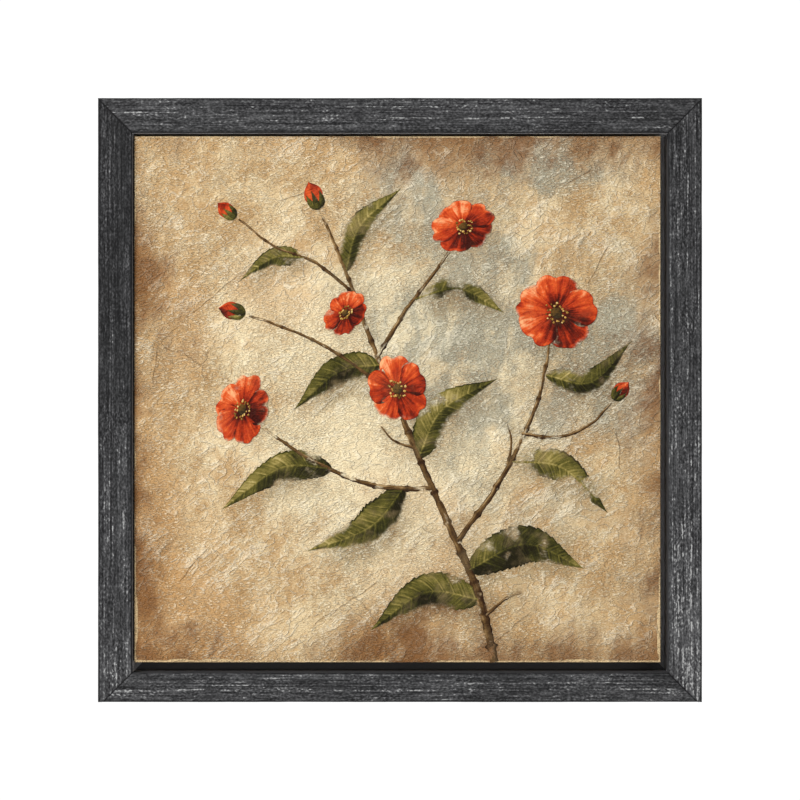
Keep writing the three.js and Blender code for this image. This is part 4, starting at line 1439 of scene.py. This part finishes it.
class PICTURE_OT_stage(PictureStep):
    """Sets up the camera, the soft studio light and the pale floor"""

    bl_idname = "picture.stage"
    bl_label = "Stage"

    def execute(self, context):
        stage = context.scene.picture_stage
        self.add_camera(context.scene, stage)
        self.add_sky(context.scene, stage)
        for name, (offset, size) in LIGHTS.items():
            self.add_light(name, offset, size, getattr(stage, name))
        self.add_floor(stage)
        context.scene.view_settings.view_transform = "Standard"
        context.scene.view_settings.look = "None"
        return {"FINISHED"}

    @staticmethod
    def add_camera(scene, stage):
        """A camera square on to the picture, at the height of its centre."""
        data = bpy.data.cameras.new("camera")
        data.sensor_width = SENSOR_WIDTH
        data.lens = stage.lens
        camera = bpy.data.objects.new("camera", data)
        distance = stage.view_width * stage.lens / SENSOR_WIDTH
        camera.location = (FRAME_X * MM, FRAME_FRONT * MM - distance, FRAME_Z * MM)
        camera.rotation_euler = (math.radians(90), 0, 0)
        scene.collection.objects.link(camera)
        scene.camera = camera

    @staticmethod
    def add_sky(scene, stage):
        """White surroundings, brighter where the camera sees them than in the light they give."""
        world = bpy.data.worlds.new("sky")
        world.use_nodes = True
        nodes, links = world.node_tree.nodes, world.node_tree.links
        background = nodes["Background"]
        background.inputs["Color"].default_value = (1, 1, 1, 1)
        path = nodes.new("ShaderNodeLightPath")
        strength = nodes.new("ShaderNodeMapRange")
        strength.inputs["To Min"].default_value = stage.sky
        strength.inputs["To Max"].default_value = SKY_SEEN
        links.new(path.outputs["Is Camera Ray"], strength.inputs["Value"])
        links.new(strength.outputs[0], background.inputs["Strength"])
        scene.world = world

    @staticmethod
    def add_light(name, offset, size, power):
        """A square light that faces the picture."""
        data = bpy.data.lights.new(name, "AREA")
        data.shape = "SQUARE"
        data.size = size
        data.energy = power
        light = bpy.data.objects.new(name, data)
        light.location = Vector((FRAME_X, FRAME_FRONT, FRAME_Z)) * MM + Vector(offset)
        light.rotation_euler = (-Vector(offset)).to_track_quat("-Z", "Y").to_euler()
        bpy.context.scene.collection.objects.link(light)

    @staticmethod
    def add_floor(stage):
        """A round floor well below the hung picture, pale, and glowing towards its rim, where it meets the
        white surroundings."""
        angle = np.linspace(0, 2 * math.pi, FLOOR_CORNERS, endpoint=False)
        radius = stage.floor_reach / MM
        rim = np.stack([radius * np.cos(angle), radius * np.sin(angle), 0 * angle], -1)
        rim += [FRAME_X, 0, FRAME_Z - stage.floor_drop / MM]
        mesh = bpy.data.meshes.new("floor")
        mesh.from_pydata((rim * MM).tolist(), [], [list(range(FLOOR_CORNERS))])
        f = Finish("pale_floor")
        flat = f.place((1, 1, 0))
        away = f.node("ShaderNodeVectorMath", {"operation": "LENGTH"}, {0: flat}, output="Value")
        paper = f.noise(f.place(), 6, 2) * 0.02
        # Painted light: the floor turns paler towards its rim, to meet the white surroundings
        tone = (away.eased(0.6, 0.8 * stage.floor_reach) * 0.1 + 0.86 + paper).least(1.0)
        colour = f.ramp(tone, [(0, (0, 0, 0)), (1, (1, 1, 1))])
        stops = [(0.2, (0, 0, 0)), (0.65, (0.5, 0.5, 0.5)), (1, (0.85, 0.85, 0.85))]
        glow = f.ramp(away / stage.floor_reach, stops)
        inputs = {"Base Color": colour, "Roughness": 0.9, "Specular IOR Level": 0.1}
        mesh.materials.append(f.done(inputs | {"Emission Color": glow, "Emission Strength": 1.0}))
        floor = bpy.data.objects.new("floor", mesh)
        bpy.context.scene.collection.objects.link(floor)


class PICTURE_OT_rails(PictureStep):
    """Builds the four brushed charcoal rails"""

    bl_idname = "picture.rails"
    bl_label = "Frame rails"

    def execute(self, context):
        rail = context.scene.picture_rails
        finish = charcoal_finish(rail)
        for quarter in range(4):
            rail_piece(quarter, rail, finish)
        return {"FINISHED"}


class PICTURE_OT_canvas(PictureStep):
    """Builds the cotton cloth and the painted ground on it"""

    bl_idname = "picture.canvas"
    bl_label = "Canvas"

    def execute(self, context):
        painting = context.scene.picture_painting
        cotton_cloth(cotton_finish(painting))
        painted_ground(GroundSurface(painting.grid), painting, ground_finish(painting))
        return {"FINISHED"}


class PICTURE_OT_spray(PictureStep):
    """Paints the spray of flowers: stems, leaves, petals and their centres"""

    bl_idname = "picture.spray"
    bl_label = "Painted spray"

    def execute(self, context):
        painting = context.scene.picture_painting
        surface = GroundSurface(painting.grid)
        stems, leaves, petals, centres = (Film(surface) for _ in range(4))
        for seed, stem in enumerate(STEMS, 500):
            paint_stem(stems, stem, seed)
        for seed, leaf in enumerate(LEAVES, 540):
            paint_leaf(leaves, leaf, seed)
        for seed, blossom in enumerate(BLOSSOMS, 580):
            paint_blossom(petals, centres, blossom, seed)
        for seed, bud in enumerate(BUDS):
            paint_bud(petals, leaves, bud, 620 + 10 * seed)
        stems.piece("paint_stems", paint_finish("stem_paint", painting.bark, 0.35, painting), painting)
        leaves.piece("paint_leaves", paint_finish("leaf_paint", painting.green, 0.55, painting), painting)
        petals.piece("paint_petals", paint_finish("petal_paint", painting.red, 0.12, painting), painting)
        centres.piece("paint_centres", paint_finish("centre_paint", painting.gold, 0.1, painting), painting)
        return {"FINISHED"}


class PICTURE_OT_stretcher(PictureStep):
    """Finishes the stretcher bars in raw pine, the grain along each bar"""

    bl_idname = "picture.stretcher"
    bl_label = "Stretcher bars"

    def execute(self, context):
        dress(pine_finish("pine_level", 0), "stretcher_bar_bottom", "stretcher_bar_top")
        dress(pine_finish("pine_upright", 2), "stretcher_bar_left", "stretcher_bar_right")
        return {"FINISHED"}


class PICTURE_OT_fittings(PictureStep):
    """Finishes the nails, staples, screws, hanger and bumpers"""

    bl_idname = "picture.fittings"
    bl_label = "Fittings"

    def execute(self, context):
        zinc = metal_finish("zinc_plate", **ZINC)
        brass = metal_finish("brass_plate", **BRASS)
        dress(zinc, "corner_nail", "stretcher_nail", "staple", "screw")
        dress(brass, "sawtooth_hanger", "hanger_nail")
        dress(rubber_finish(), "bumper")
        return {"FINISHED"}


class PICTURE_PT_panel(bpy.types.Panel):
    """The picture's steps and settings in the sidebar"""

    bl_idname = "PICTURE_PT_panel"
    bl_label = "Framed Canvas Picture"
    bl_space_type = "VIEW_3D"
    bl_region_type = "UI"
    bl_category = "Picture"

    def draw(self, context):
        for step in STEPS:
            self.layout.operator(step.bl_idname)
        for name in SETTINGS:
            settings = getattr(context.scene, name)
            box = self.layout.box()
            for key in settings.bl_rna.properties.keys():
                if key not in ("name", "rna_type"):
                    box.prop(settings, key)


STEPS = [
    PICTURE_OT_stage,
    PICTURE_OT_rails,
    PICTURE_OT_canvas,
    PICTURE_OT_spray,
    PICTURE_OT_stretcher,
    PICTURE_OT_fittings,
]
SETTINGS = {
    "picture_stage": StageSettings,
    "picture_rails": RailSettings,
    "picture_painting": PaintingSettings,
}


def register():
    for kind in [*SETTINGS.values(), *STEPS, PICTURE_PT_panel]:
        bpy.utils.register_class(kind)
    for name, kind in SETTINGS.items():
        setattr(bpy.types.Scene, name, bpy.props.PointerProperty(type=kind))


def unregister():
    for name in SETTINGS:
        delattr(bpy.types.Scene, name)
    for kind in [PICTURE_PT_panel, *reversed(STEPS), *reversed(list(SETTINGS.values()))]:
        bpy.utils.unregister_class(kind)


def main():
    register()
    bpy.ops.picture.stage()
    bpy.ops.picture.rails()
    bpy.ops.picture.canvas()
    bpy.ops.picture.spray()
    bpy.ops.picture.stretcher()
    bpy.ops.picture.fittings()


if __name__ == "__main__":
    main()
